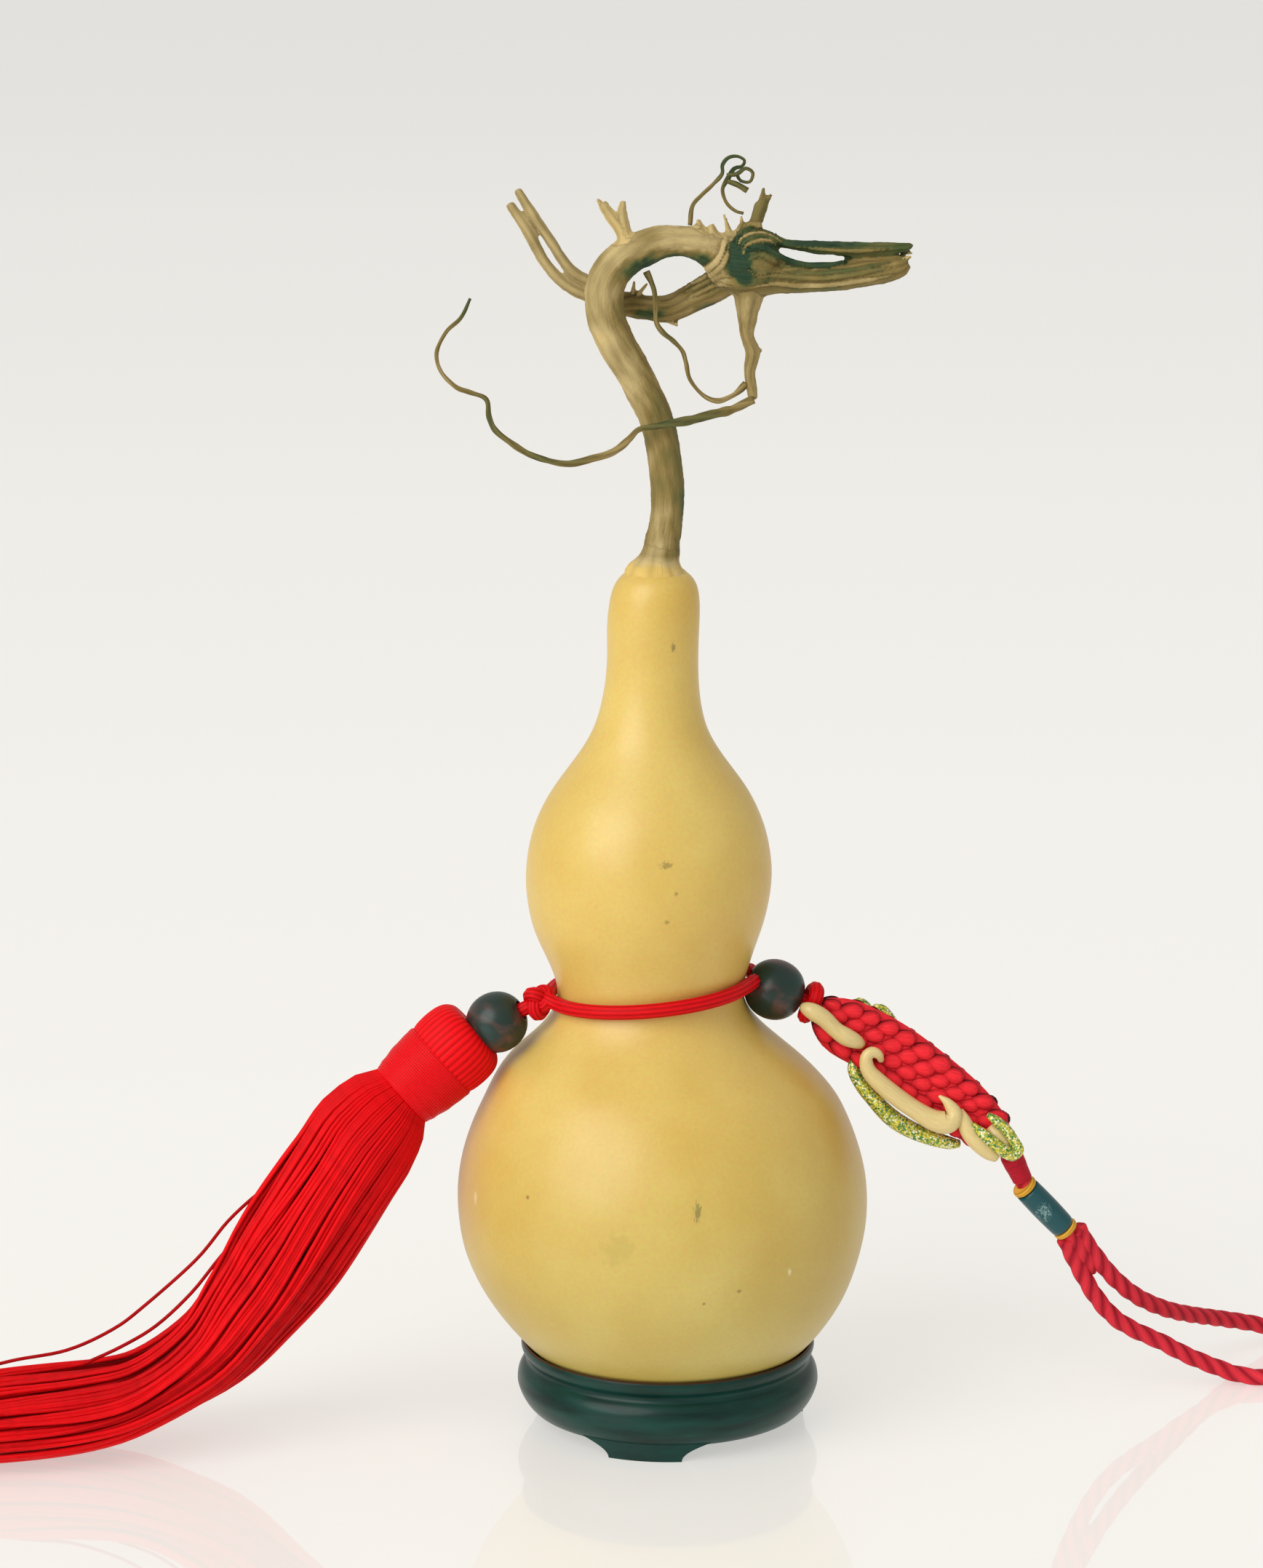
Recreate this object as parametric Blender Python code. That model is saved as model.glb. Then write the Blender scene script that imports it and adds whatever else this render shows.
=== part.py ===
"""Dried bottle gourd with its vine stem, in a turned and lacquered stand, with a tied waist cord,
two beads, a red tassel on the left and a woven charm with a hanging loop on the right.

Metres, +Z up. The origin is on the floor under the middle of the gourd and its stem, and -Y is the
front. Sizes and routes below are written in millimetres and turned to metres by metres().
"""

import math

import bmesh
import bpy
from mathutils import Matrix, Vector

# Driving sizes, in millimetres
GAP = 0.3                      # clearance between neighbouring pieces
STAND_X = -1.5                 # the stand's axis, seen from the front
FOOT_HEIGHT = 3.5
FOOT_COUNT = 3
FOOT_FIRST_ANGLE = -100.0      # degrees round +Z from +X, so the first foot is just left of front
FOOT_OUTER_RADIUS = 32.6
FOOT_INNER_RADIUS = 24.0
FOOT_TOP_WIDTH = 25.0
FOOT_BOTTOM_WIDTH = 15.0
DISH_TOP = 19.0                # height where the gourd meets the stand's rim
GOURD_BASE = 6.3
GOURD_TOP = 202.0
CORD_DIAMETER = 3.4            # waist cord
ROPE_DIAMETER = 3.6            # hanging loop
BEAD_RADIUS = 7.05
WAIST_CORD_RADIUS = 24.0       # centreline of the waist cord round the gourd's axis
WAIST_X = -5.6
WAIST_HEIGHT = 104.1
WAIST_TILT = 2.1               # the waist cord rises this much from the axis to its right side
SLEEVE_BORE = 2.3
SLEEVE_RADIUS = 2.8

# The gourd's outline: height above the floor and radius
GOURD_OUTLINE = [
    (6.6, 6.0), (7.9, 13.0), (10.6, 20.5), (14.6, 27.5), (20.1, 33.8), (27.8, 40.0), (36.0, 44.5),
    (45.0, 47.2), (54.0, 47.9), (62.0, 47.0), (70.0, 44.7), (77.5, 41.3), (84.5, 36.5), (89.8, 31.0),
    (94.0, 26.3), (98.0, 22.9), (102.0, 21.3), (106.5, 21.9), (111.9, 23.9), (118.5, 26.5),
    (124.5, 27.9), (130.5, 28.4), (137.0, 27.8), (143.5, 26.0), (150.0, 22.8), (156.0, 18.5),
    (161.0, 15.0), (166.5, 12.4), (173.5, 10.9), (181.0, 10.4), (190.0, 10.6), (195.5, 10.2),
    (198.5, 9.2), (200.4, 7.6), (201.7, 5.2),
]
# The sideways lean of the gourd's centreline: height and x
GOURD_LEAN = [
    (0.0, -1.5), (20.1, -1.5), (45.0, -2.7), (75.0, -3.1), (90.0, -5.0), (105.0, -5.7),
    (118.0, -6.3), (135.0, -5.9), (160.0, -5.7), (185.0, -5.1), (203.0, -4.3),
]
# The stand's outer outline above its feet: radius and height
STAND_OUTLINE = [
    (33.0, 3.5), (33.7, 3.9), (33.8, 4.9), (33.4, 5.4), (33.9, 6.0), (34.9, 7.6), (35.3, 10.0),
    (34.9, 12.2), (33.9, 13.7), (33.0, 14.7), (33.1, 15.7), (34.0, 16.7), (34.5, 18.0), (34.3, 19.1),
]

# Routes of the grown limbs: x, y, z, half height, half depth
STEM = [
    (-3.8, 0, 202.6, 5.0, 5.0), (-3.75, 0, 204.4, 4.5, 4.5), (-2.9, 0, 208.0, 4.0, 4.0),
    (-2.0, 0, 214.0, 3.8, 3.9), (-1.9, 0, 220.0, 3.9, 3.9), (-2.3, 0, 225.0, 3.9, 3.9),
    (-3.3, 0, 231.0, 3.9, 3.9), (-4.6, 0, 236.0, 3.9, 3.9), (-6.9, 0, 241.0, 4.0, 4.0),
    (-10.0, 0, 247.0, 4.1, 4.1), (-13.3, 0, 252.5, 4.3, 4.2), (-15.4, 0, 257.6, 4.4, 4.3),
    (-16.2, 0, 262.7, 4.5, 4.3), (-15.3, 0, 267.0, 4.5, 4.3), (-12.4, 0, 270.9, 4.4, 4.2),
    (-8.0, 0, 273.5, 4.2, 4.0), (-3.5, 0, 275.2, 3.9, 3.8), (1.5, 0, 275.4, 3.4, 3.6),
    (6.0, 0, 274.2, 3.7, 4.0), (9.0, 0, 272.9, 4.9, 4.8), (12.0, 0, 271.4, 6.9, 6.0),
    (15.6, 0, 270.8, 8.0, 6.6), (19.2, 0, 270.5, 7.3, 6.2), (22.2, 0, 270.2, 5.6, 5.0),
    (23.6, 0, 270.1, 4.0, 3.6),
]
UPPER_JAW = [
    (19.0, 0, 274.4, 2.2, 3.6), (25.0, 0, 274.1, 1.6, 3.5), (32.0, 0, 273.8, 1.8, 3.5),
    (40.0, 0, 273.6, 2.0, 3.4), (48.0, 0, 273.8, 1.6, 2.8), (53.2, 0, 274.1, 0.9, 1.8),
]
LOWER_JAW = [
    (17.0, 0, 267.2, 3.8, 4.6), (24.0, 0, 267.4, 3.5, 4.3), (31.0, 0, 267.1, 3.2, 4.0),
    (36.5, 0, 267.3, 3.5, 3.9), (40.0, 0, 268.6, 4.2, 3.8), (44.5, 0, 269.7, 3.9, 3.4),
    (49.0, 0, 269.3, 2.3, 2.6), (52.2, 0, 269.2, 1.2, 1.8),
]
LOWER_BRANCH = [
    (-16.5, 2.0, 262.4, 2.6, 2.4), (-14.0, 6.0, 261.3, 2.8, 2.6), (-11.0, 8.0, 260.7, 2.9, 2.7),
    (-6.7, 8.0, 260.0, 2.9, 2.7), (-1.8, 8.0, 259.7, 3.2, 2.9), (3.0, 7.6, 261.8, 3.4, 3.0),
    (7.7, 6.0, 264.4, 3.7, 3.2), (11.7, 3.2, 267.0, 3.8, 3.4), (14.5, 1.0, 268.8, 3.5, 3.2),
]
UPPER_TAIL = [
    (-14.0, 6.0, 262.6, 1.3, 1.5), (-19.7, 8.0, 266.2, 1.0, 1.4), (-24.1, 8.4, 268.9, 1.0, 1.4),
    (-28.8, 8.6, 275.9, 1.0, 1.2), (-31.9, 8.6, 280.6, 0.9, 1.1), (-35.8, 8.6, 286.5, 0.6, 0.8),
]
LOWER_TAIL = [
    (-13.0, 7.6, 260.9, 1.4, 1.5), (-20.5, 8.0, 262.6, 1.1, 1.4), (-25.6, 8.0, 265.4, 1.1, 1.4),
    (-29.9, 8.0, 270.1, 1.1, 1.2), (-33.8, 8.0, 276.4, 1.0, 1.1), (-38.0, 8.0, 282.9, 0.6, 0.8),
]
UNDER_TWIG = [
    (16.5, 0, 266.0, 4.4, 3.8), (16.3, 0, 262.4, 3.3, 3.0), (16.1, 0, 259.0, 2.5, 2.4),
    (16.0, 0, 254.4, 1.6, 1.6), (17.6, 0, 250.6, 1.8, 1.8), (16.6, 0, 246.4, 1.4, 1.4),
    (16.9, 0, 242.2, 1.2, 1.2),
]
# Short broken twigs: foot, tip and the two half thicknesses
TWIGS = [
    ((-11.2, 0, 273.5), (-17.0, 0, 284.2), 1.3, 0.9),
    ((-10.6, 0, 273.5), (-11.5, 0, 284.7), 1.3, 1.0),
    ((17.1, 0, 276.5), (20.3, 0, 286.4), 1.4, 0.8),
    ((6.2, 0, 276.5), (4.6, 0, 281.3), 1.0, 0.6),
    ((10.4, 0, 275.5), (7.2, 0, 280.2), 0.9, 0.5),
    ((12.9, 0, 276.0), (11.0, 0, 281.3), 0.8, 0.4),
    ((13.9, 0, 276.5), (14.5, 0, 281.1), 0.8, 0.4),
]
LONG_TENDRIL = [
    (17.3, -1.2, 240.0, 1.0, 1.0), (11.5, -3.4, 237.8, 1.0, 0.8), (4.8, -5.4, 236.4, 1.0, 0.7),
    (0.0, -6.2, 235.4, 1.0, 0.7), (-4.2, -6.3, 234.7, 0.8, 0.6), (-8.3, -6.0, 233.9, 0.7, 0.6),
    (-10.4, -5.5, 231.7, 0.8, 0.6), (-13.3, -5.0, 229.3, 0.9, 0.6), (-17.5, -5.0, 227.5, 0.9, 0.6),
    (-25.2, -5.0, 226.1, 0.8, 0.6), (-32.8, -5.0, 228.2, 0.8, 0.6), (-39.6, -4.5, 232.6, 0.7, 0.6),
    (-41.9, -4.0, 236.3, 0.7, 0.5), (-42.6, -4.0, 240.4, 0.6, 0.5), (-46.0, -4.0, 242.0, 0.6, 0.5),
    (-49.4, -4.0, 243.2, 0.6, 0.5), (-52.6, -4.0, 246.6, 0.5, 0.5), (-53.6, -4.0, 251.0, 0.5, 0.5),
    (-51.5, -4.0, 255.4, 0.5, 0.5), (-48.2, -4.0, 258.6, 0.5, 0.4), (-46.0, -4.0, 263.0, 0.4, 0.4),
]
INNER_TENDRIL = [
    (-6.6, 0.0, 268.7, 0.6, 0.6), (-5.1, 0.2, 264.9, 0.5, 0.5), (-4.6, 0.5, 260.9, 0.5, 0.5),
    (-4.4, 0.4, 257.3, 0.5, 0.5), (-2.9, 0.0, 254.9, 0.6, 0.5), (-0.8, 0.0, 253.3, 0.5, 0.5),
    (1.4, 0.0, 251.0, 0.5, 0.5), (2.2, 0.0, 248.4, 0.5, 0.5), (3.1, 0.0, 244.6, 0.5, 0.5),
    (6.2, 0.0, 240.9, 0.5, 0.5), (9.3, 0.0, 239.6, 0.5, 0.5), (12.2, 0.0, 240.6, 0.4, 0.4),
    (14.2, 0.0, 242.0, 0.4, 0.4),
]
CURLED_TENDRIL = [
    (3.0, 0.0, 279.6, 0.5, 0.5), (3.6, 0.0, 283.1, 0.4, 0.4), (5.6, 0.0, 285.6, 0.4, 0.4),
    (8.2, 0.0, 288.1, 0.4, 0.4), (10.2, -0.2, 290.3, 0.4, 0.4), (10.3, -0.5, 292.4, 0.4, 0.4),
    (11.6, -0.6, 294.1, 0.4, 0.4), (13.6, -0.6, 294.4, 0.4, 0.4), (15.2, -0.2, 293.3, 0.4, 0.4),
    (14.6, 0.4, 292.0, 0.4, 0.4), (12.9, 0.9, 291.4, 0.5, 0.5), (11.5, 1.2, 289.2, 0.6, 0.6),
    (10.3, 1.2, 286.9, 0.4, 0.4), (11.1, 0.9, 284.1, 0.4, 0.4), (13.1, 0.5, 282.2, 0.4, 0.4),
    (15.0, 0.2, 281.6, 0.4, 0.4),
]

# The tassel: its head's top, the direction it points, and its skirt's route
TASSEL_TOP = (-47.8, -4.6, 93.2)
TASSEL_DIRECTION = (-0.75, -0.13, -0.65)
CAP_OUTLINE = [(3.2, 0.0), (6.8, 0.9), (9.3, 3.2), (10.2, 6.2), (9.7, 7.8)]
BAND_OUTLINE = [(9.4, 8.1), (9.8, 9.4), (9.5, 14.0), (8.7, 19.0), (8.1, 20.1)]
SKIRT = [
    (-63.4, -7.3, 79.7, 8.0, 8.0), (-66.0, -8.0, 77.2, 11.2, 10.0), (-71.0, -9.6, 71.5, 13.2, 11.5),
    (-76.0, -11.0, 64.0, 13.3, 12.5), (-88.4, -14.0, 45.2, 13.0, 13.0), (-97.0, -16.5, 34.4, 12.0, 13.5),
    (-107.0, -19.0, 23.8, 11.2, 14.5), (-120.9, -22.0, 15.9, 9.8, 16.5), (-134.8, -24.0, 11.6, 9.4, 18.0),
    (-155.5, -26.0, 9.2, 8.8, 19.5), (-172.0, -26.5, 7.6, 7.2, 20.5), (-190.0, -27.0, 5.4, 5.0, 21.0),
]

WAIST_KNOT = (-31.2, -7.5, 102.4)
LEFT_BEAD = (-41.0, -5.8, 97.0)
RIGHT_BEAD = (23.1, 0.0, 103.3)
RIGHT_BORE = (0.93, 0.0, -0.37)

# The woven charm: x, y, z, half width, half thickness
PANEL = [
    (34.0, 0.0, 98.4, 2.8, 2.2), (35.8, 0.0, 97.0, 5.0, 2.4), (39.7, 0.0, 94.0, 6.9, 2.4),
    (48.9, 0.0, 89.8, 6.9, 2.4), (57.1, 0.0, 83.6, 6.9, 2.4), (66.5, 0.0, 75.4, 6.7, 2.4),
    (72.7, 0.0, 70.1, 5.4, 2.4), (75.9, 0.0, 67.2, 3.4, 2.2),
]
IVORY_SHORT = [(29.3, -6.4, 101.2), (32.7, -5.4, 98.4), (36.3, -4.9, 95.7), (42.6, -4.9, 91.0)]
IVORY_LONG = [
    (47.1, -4.9, 87.7), (44.9, -5.0, 88.9), (42.8, -5.0, 87.5), (44.1, -5.0, 84.9),
    (49.0, -5.0, 81.2), (54.6, -5.0, 77.0), (60.5, -5.0, 72.7), (64.7, -5.0, 69.9),
    (67.1, -5.0, 70.9), (66.1, -5.0, 73.7), (60.6, -5.0, 78.6),
]
IVORY_END = [(69.7, -4.9, 67.1), (71.7, -4.8, 64.3), (73.9, -4.5, 61.3)]
GOLD_SIDE = [
    (40.7, -1.0, 84.2), (42.1, -1.0, 80.5), (46.3, -1.0, 74.7), (52.3, -1.0, 69.5),
    (59.1, -1.0, 66.6), (65.5, -1.0, 66.2),
]
GOLD_TOP = [(40.0, 4.3, 99.9), (43.0, 4.3, 100.7), (47.0, 4.3, 99.7), (52.0, 4.3, 97.1), (54.9, 4.3, 94.7)]
GOLD_END = [
    (70.7, -7.2, 70.1), (72.9, -7.3, 67.7), (75.3, -7.2, 65.1), (77.7, -6.8, 63.2), (80.3, -6.0, 62.9),
    (81.4, -5.6, 64.9), (80.4, -5.4, 67.7), (77.8, -5.4, 70.3), (74.9, -5.4, 72.3),
]
IVORY_DIAMETER = 3.8
GOLD_DIAMETER = 2.9

# The bound end of the charm: axis points from the panel to the hanging loop
BIND_TOP = (79.2, 0.9, 61.9)
BIND_BEND = (82.7, 2.6, 54.4)
BIND_END = (92.2, 5.7, 43.8)
CORE_START = (77.9, 0.2, 65.4)
WHIPPING_LENGTH = 6.6
RING_LENGTH = 1.7
RING_RADIUS = 3.3
SLEEVE_START = 1.6             # distance past the bend
SLEEVE_LENGTH = 11.6

# The hanging loop, from the bound end's lower side round and back to its upper side
LOOP = [
    (92.1, 6.1, 41.3), (93.9, 8.0, 37.2), (97.0, 10.0, 31.0), (100.6, 11.6, 24.9), (105.0, 13.0, 19.7),
    (110.2, 14.6, 16.0), (116.4, 16.6, 12.6), (122.8, 18.8, 8.6), (129.4, 20.8, 5.2), (136.0, 21.4, 2.7),
    (143.0, 20.4, 1.9), (152.0, 18.8, 1.9), (162.0, 19.0, 1.9), (171.5, 22.4, 1.9), (178.0, 29.0, 1.9),
    (179.6, 37.8, 1.9), (175.0, 46.2, 1.9), (166.4, 51.0, 1.9), (156.5, 52.6, 2.4), (149.0, 51.8, 4.2),
    (142.6, 48.6, 6.6), (134.4, 42.0, 9.9), (126.0, 32.6, 14.0), (119.4, 25.4, 17.6), (113.0, 19.4, 21.8),
    (108.0, 15.4, 26.0), (103.4, 12.4, 31.0), (100.0, 10.0, 35.7), (97.1, 8.2, 40.2), (95.2, 6.5, 43.9),
]


def metres(point):
    """A point given in millimetres, as a vector in metres."""
    return Vector(point) / 1000.0


def clear_scene():
    """Remove every object that is already there."""
    for thing in list(bpy.data.objects):
        bpy.data.objects.remove(thing, do_unlink=True)


def principled(name, srgb_hex, roughness, metallic=0.0):
    """A plain Principled material in one sRGB colour."""
    channels = [int(srgb_hex[i:i + 2], 16) / 255.0 for i in (0, 2, 4)]
    linear = [((c + 0.055) / 1.055) ** 2.4 if c > 0.04045 else c / 12.92 for c in channels]
    made = bpy.data.materials.new(name)
    made.use_nodes = True
    shader = made.node_tree.nodes["Principled BSDF"]
    shader.inputs["Base Color"].default_value = (*linear, 1.0)
    shader.inputs["Roughness"].default_value = roughness
    shader.inputs["Metallic"].default_value = metallic
    made.diffuse_color = (*linear, 1.0)
    return made


def smooth_route(points, spacing):
    """Points about spacing apart on a Catmull-Rom curve through the given ones, any number of values."""
    path = [tuple(map(float, point)) for point in points]
    first = tuple(2 * a - b for a, b in zip(path[0], path[1]))
    last = tuple(2 * a - b for a, b in zip(path[-1], path[-2]))
    held = [first, *path, last]
    route = []
    for i in range(1, len(held) - 2):
        p0, p1, p2, p3 = held[i - 1:i + 3]
        steps = max(1, round(math.dist(p1[:3], p2[:3]) / spacing))
        for step in range(steps):
            t = step / steps
            route.append(tuple(
                0.5 * (2 * b + (c - a) * t + (2 * a - 5 * b + 4 * c - d) * t ** 2
                       + (3 * b - a - 3 * c + d) * t ** 3)
                for a, b, c, d in zip(p0, p1, p2, p3)))
    route.append(path[-1])
    return route


def value_at(pairs, where):
    """Smooth value between (position, value) pairs, held level past the ends."""
    if where <= pairs[0][0]:
        return pairs[0][1]
    for (x0, v0), (x1, v1) in zip(pairs, pairs[1:]):
        if where <= x1:
            t = (where - x0) / (x1 - x0)
            return v0 + (v1 - v0) * (3 * t * t - 2 * t ** 3)
    return pairs[-1][1]


def add_object(name, mesh, material, crease=40.0):
    """Link a mesh as an object, smooth shaded except at edges sharper than crease degrees."""
    mesh.shade_smooth()
    mesh.set_sharp_from_angle(angle=math.radians(crease))
    mesh.materials.append(material)
    thing = bpy.data.objects.new(name, mesh)
    bpy.context.scene.collection.objects.link(thing)
    return thing


def mesh_from(name, bm):
    """Close a bmesh's normals outwards and turn it into a mesh."""
    bmesh.ops.recalc_face_normals(bm, faces=bm.faces)
    mesh = bpy.data.meshes.new(name)
    bm.to_mesh(mesh)
    bm.free()
    return mesh


def loft_into(bm, route, sides):
    """Add one closed limb: elliptical rings along a route of x, y, z, half height and half depth."""
    rings = []
    for i, (x, y, z, half_up, half_side) in enumerate(route):
        ahead = Vector(route[min(i + 1, len(route) - 1)][:3])
        behind = Vector(route[max(i - 1, 0)][:3])
        along = (ahead - behind).normalized()
        up = Vector((0, 1, 0)).cross(along).normalized()
        side = along.cross(up)
        ring = []
        for k in range(sides):
            angle = 2 * math.pi * k / sides
            spot = Vector((x, y, z)) + up * half_up * math.cos(angle) + side * half_side * math.sin(angle)
            ring.append(bm.verts.new(metres(spot)))
        rings.append(ring)
    for ring, following in zip(rings, rings[1:]):
        for k in range(sides):
            bm.faces.new((ring[k], ring[(k + 1) % sides], following[(k + 1) % sides], following[k]))
    bm.faces.new(rings[0])
    bm.faces.new(list(reversed(rings[-1])))


def limb(name, points, spacing, sides, material):
    """One lofted piece along a smooth route."""
    bm = bmesh.new()
    loft_into(bm, smooth_route(points, spacing), sides)
    return add_object(name, mesh_from(name, bm), material)


def turned(name, outline, segments, material, at=(0, 0, 0), direction=(0, 0, 1), crease=40.0):
    """A turned solid: (radius, height) outline spun round the direction through a point."""
    bm = bmesh.new()
    line = [bm.verts.new((radius / 1000.0, 0.0, height / 1000.0)) for radius, height in outline]
    edges = [bm.edges.new(pair) for pair in zip(line, line[1:])]
    if outline[0][0] > 0 and outline[-1][0] > 0:
        edges.append(bm.edges.new((line[-1], line[0])))
    bmesh.ops.spin(bm, geom=line + edges, axis=(0, 0, 1), cent=(0, 0, 0),
                   angle=2 * math.pi, steps=segments, use_merge=True)
    bmesh.ops.remove_doubles(bm, verts=bm.verts, dist=1e-6)
    bmesh.ops.dissolve_degenerate(bm, edges=bm.edges, dist=1e-6)
    turn = Vector((0, 0, 1)).rotation_difference(Vector(direction).normalized()).to_matrix().to_4x4()
    bmesh.ops.transform(bm, matrix=Matrix.Translation(metres(at)) @ turn, verts=bm.verts)
    return add_object(name, mesh_from(name, bm), material, crease)


def cord(name, points, diameter, material, resolution=2, spacing=None):
    """A round cord: a filled curve with a bevel, on a smooth route."""
    curve = bpy.data.curves.new(name, "CURVE")
    curve.dimensions = "3D"
    curve.bevel_depth = diameter / 2000.0
    curve.bevel_resolution = resolution
    curve.use_fill_caps = True
    route = smooth_route(points, spacing or 2.3 * diameter)
    spline = curve.splines.new("POLY")
    spline.points.add(len(route) - 1)
    for place, point in zip(spline.points, route):
        place.co = (*metres(point), 1.0)
    curve.materials.append(material)
    thing = bpy.data.objects.new(name, curve)
    bpy.context.scene.collection.objects.link(thing)
    return thing


def gourd(material):
    """The dried gourd: two bulbs and a neck, turned round a centreline that leans a little."""
    sides = 36
    heights_and_radii = smooth_route([(0.0, height, radius) for height, radius in GOURD_OUTLINE], 8.0)
    bm = bmesh.new()
    rings = []
    for _, height, radius in heights_and_radii:
        centre = value_at(GOURD_LEAN, height)
        rings.append([
            bm.verts.new(metres((centre + radius * math.cos(2 * math.pi * k / sides),
                                 radius * math.sin(2 * math.pi * k / sides), height)))
            for k in range(sides)])
    foot = bm.verts.new(metres((value_at(GOURD_LEAN, GOURD_BASE), 0.0, GOURD_BASE)))
    crown = bm.verts.new(metres((value_at(GOURD_LEAN, GOURD_TOP), 0.0, GOURD_TOP)))
    for ring, following in zip(rings, rings[1:]):
        for k in range(sides):
            bm.faces.new((ring[k], ring[(k + 1) % sides], following[(k + 1) % sides], following[k]))
    for k in range(sides):
        bm.faces.new((rings[0][k], foot, rings[0][(k + 1) % sides]))
        bm.faces.new((rings[-1][k], rings[-1][(k + 1) % sides], crown))
    return add_object("gourd_fruit", mesh_from("gourd_fruit", bm), material)


def guide(name, mesh):
    """A hidden operand for a Boolean."""
    thing = bpy.data.objects.new(name, mesh)
    thing.hide_render = True
    thing.display_type = "WIRE"
    bpy.context.scene.collection.objects.link(thing)
    return thing


def unite(thing, other):
    """Join another solid's mesh to an object, as one body."""
    join = thing.modifiers.new("join", "BOOLEAN")
    join.operation = "UNION"
    join.solver = "EXACT"
    join.use_self = True
    join.object = other


def vine(material):
    """The dry stem: neck, arch, split end and twigs, all one grown piece."""
    stem = limb("vine_stem", STEM, 3.4, 14, material)
    bm = bmesh.new()
    for points, sides in ((UPPER_JAW, 10), (LOWER_JAW, 10), (LOWER_BRANCH, 10),
                          (UPPER_TAIL, 7), (LOWER_TAIL, 7), (UNDER_TWIG, 9)):
        loft_into(bm, smooth_route(points, 4.0), sides)
    for foot, tip, foot_half, tip_half in TWIGS:
        middle = [(a + b) / 2 for a, b in zip(foot, tip)]
        mean = (foot_half + tip_half) / 2
        loft_into(bm, [(*foot, foot_half, foot_half), (*middle, mean, mean), (*tip, tip_half, tip_half)], 7)
    unite(stem, guide("vine_branches", mesh_from("vine_branches", bm)))


def stand(material):
    """The turned stand: a dished top that follows the gourd, a moulded side and bracket feet."""
    outline = [(0.0, FOOT_HEIGHT), *STAND_OUTLINE]
    dish = [(radius + GAP * 0.75, height - GAP * 0.75) for height, radius in GOURD_OUTLINE if height < DISH_TOP]
    rim_radius = 33.1
    outline += [(rim_radius + 0.6, DISH_TOP + 0.5), (rim_radius, DISH_TOP)]
    outline += list(reversed(dish)) + [(0.0, GOURD_BASE - GAP)]
    base = turned("stand", outline, 48, material, at=(STAND_X, 0, 0), crease=35.0)
    bm = bmesh.new()
    for index in range(FOOT_COUNT):
        angle = math.radians(FOOT_FIRST_ANGLE + 360.0 / FOOT_COUNT * index)
        place = Matrix.Translation(metres((STAND_X, 0, 0))) @ Matrix.Rotation(angle, 4, "Z")
        bracket_foot_into(bm, place)
    unite(base, guide("stand_feet", mesh_from("stand_feet", bm)))


def bracket_foot_into(bm, place):
    """One foot: a curved bracket, wide where it meets the base and narrow on the floor."""
    steps = 6
    bury = 0.8
    levels = []
    for level in range(5):
        t = level / 4
        width = FOOT_BOTTOM_WIDTH + (FOOT_TOP_WIDTH - FOOT_BOTTOM_WIDTH) * t ** 2
        height = FOOT_HEIGHT * t if level < 4 else FOOT_HEIGHT + bury
        half_angle = width / 2 / FOOT_OUTER_RADIUS
        loop = []
        for radius, ends in ((FOOT_OUTER_RADIUS - 0.5 * (1 - t), (-1, 1)), (FOOT_INNER_RADIUS, (1, -1))):
            for step in range(steps + 1):
                swing = half_angle * (ends[0] + (ends[1] - ends[0]) * step / steps)
                spot = metres((radius * math.cos(swing), radius * math.sin(swing), height))
                loop.append(bm.verts.new(place @ spot))
        levels.append(loop)
    count = len(levels[0])
    for loop, above in zip(levels, levels[1:]):
        for k in range(count):
            bm.faces.new((loop[k], loop[(k + 1) % count], above[(k + 1) % count], above[k]))
    bm.faces.new(list(reversed(levels[0])))
    bm.faces.new(levels[-1])


def waist_point(angle):
    """A point on the waist cord, at an angle in degrees round the gourd from +X."""
    turn = math.radians(angle)
    return (WAIST_X + WAIST_CORD_RADIUS * math.cos(turn), WAIST_CORD_RADIUS * math.sin(turn),
            WAIST_HEIGHT + WAIST_TILT * math.cos(turn))


def waist_cord(material):
    """The cord round the waist, front and back, from the right bead to the knot on the left."""
    knot_angle = 196.0
    knot_half = 11.5
    bead_half = 17.5
    spans = {"waist_cord_front": (knot_angle + knot_half, 360.0 - bead_half),
             "waist_cord_back": (bead_half, knot_angle - knot_half)}
    for name, (start, end) in spans.items():
        stops = 9
        points = [waist_point(start + (end - start) * i / (stops - 1)) for i in range(stops)]
        cord(name, points, CORD_DIAMETER, material, spacing=5.0)


def ball(name, centre, half_sizes, material):
    """A rounded knot, as an ellipsoid."""
    bm = bmesh.new()
    bmesh.ops.create_icosphere(bm, subdivisions=3, radius=0.001)
    bmesh.ops.scale(bm, vec=half_sizes, verts=bm.verts)
    bmesh.ops.translate(bm, vec=metres(centre), verts=bm.verts)
    return add_object(name, mesh_from(name, bm), material)


def bead(name, centre, direction, material):
    """A round bead with a drilled bore for its cord."""
    bore = CORD_DIAMETER / 2 + GAP
    steps = 14
    edge = math.asin(bore / BEAD_RADIUS)
    outline = []
    for step in range(steps + 1):
        angle = edge + (math.pi - 2 * edge) * step / steps
        outline.append((BEAD_RADIUS * math.sin(angle), BEAD_RADIUS * math.cos(angle)))
    turned(name, outline, 24, material, centre, direction)


def along(start, direction, distance):
    """The point at a distance from start in a direction."""
    return tuple(Vector(start) + Vector(direction).normalized() * distance)


def tube(name, start, direction, length, inner, outer, material):
    """A short round sleeve with a bore."""
    soft = min(0.4, length / 4)
    outline = [(inner, 0.0), (outer - soft, 0.0), (outer, soft), (outer, length - soft),
               (outer - soft, length), (inner, length)]
    turned(name, outline, 20, material, start, direction)


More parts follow.
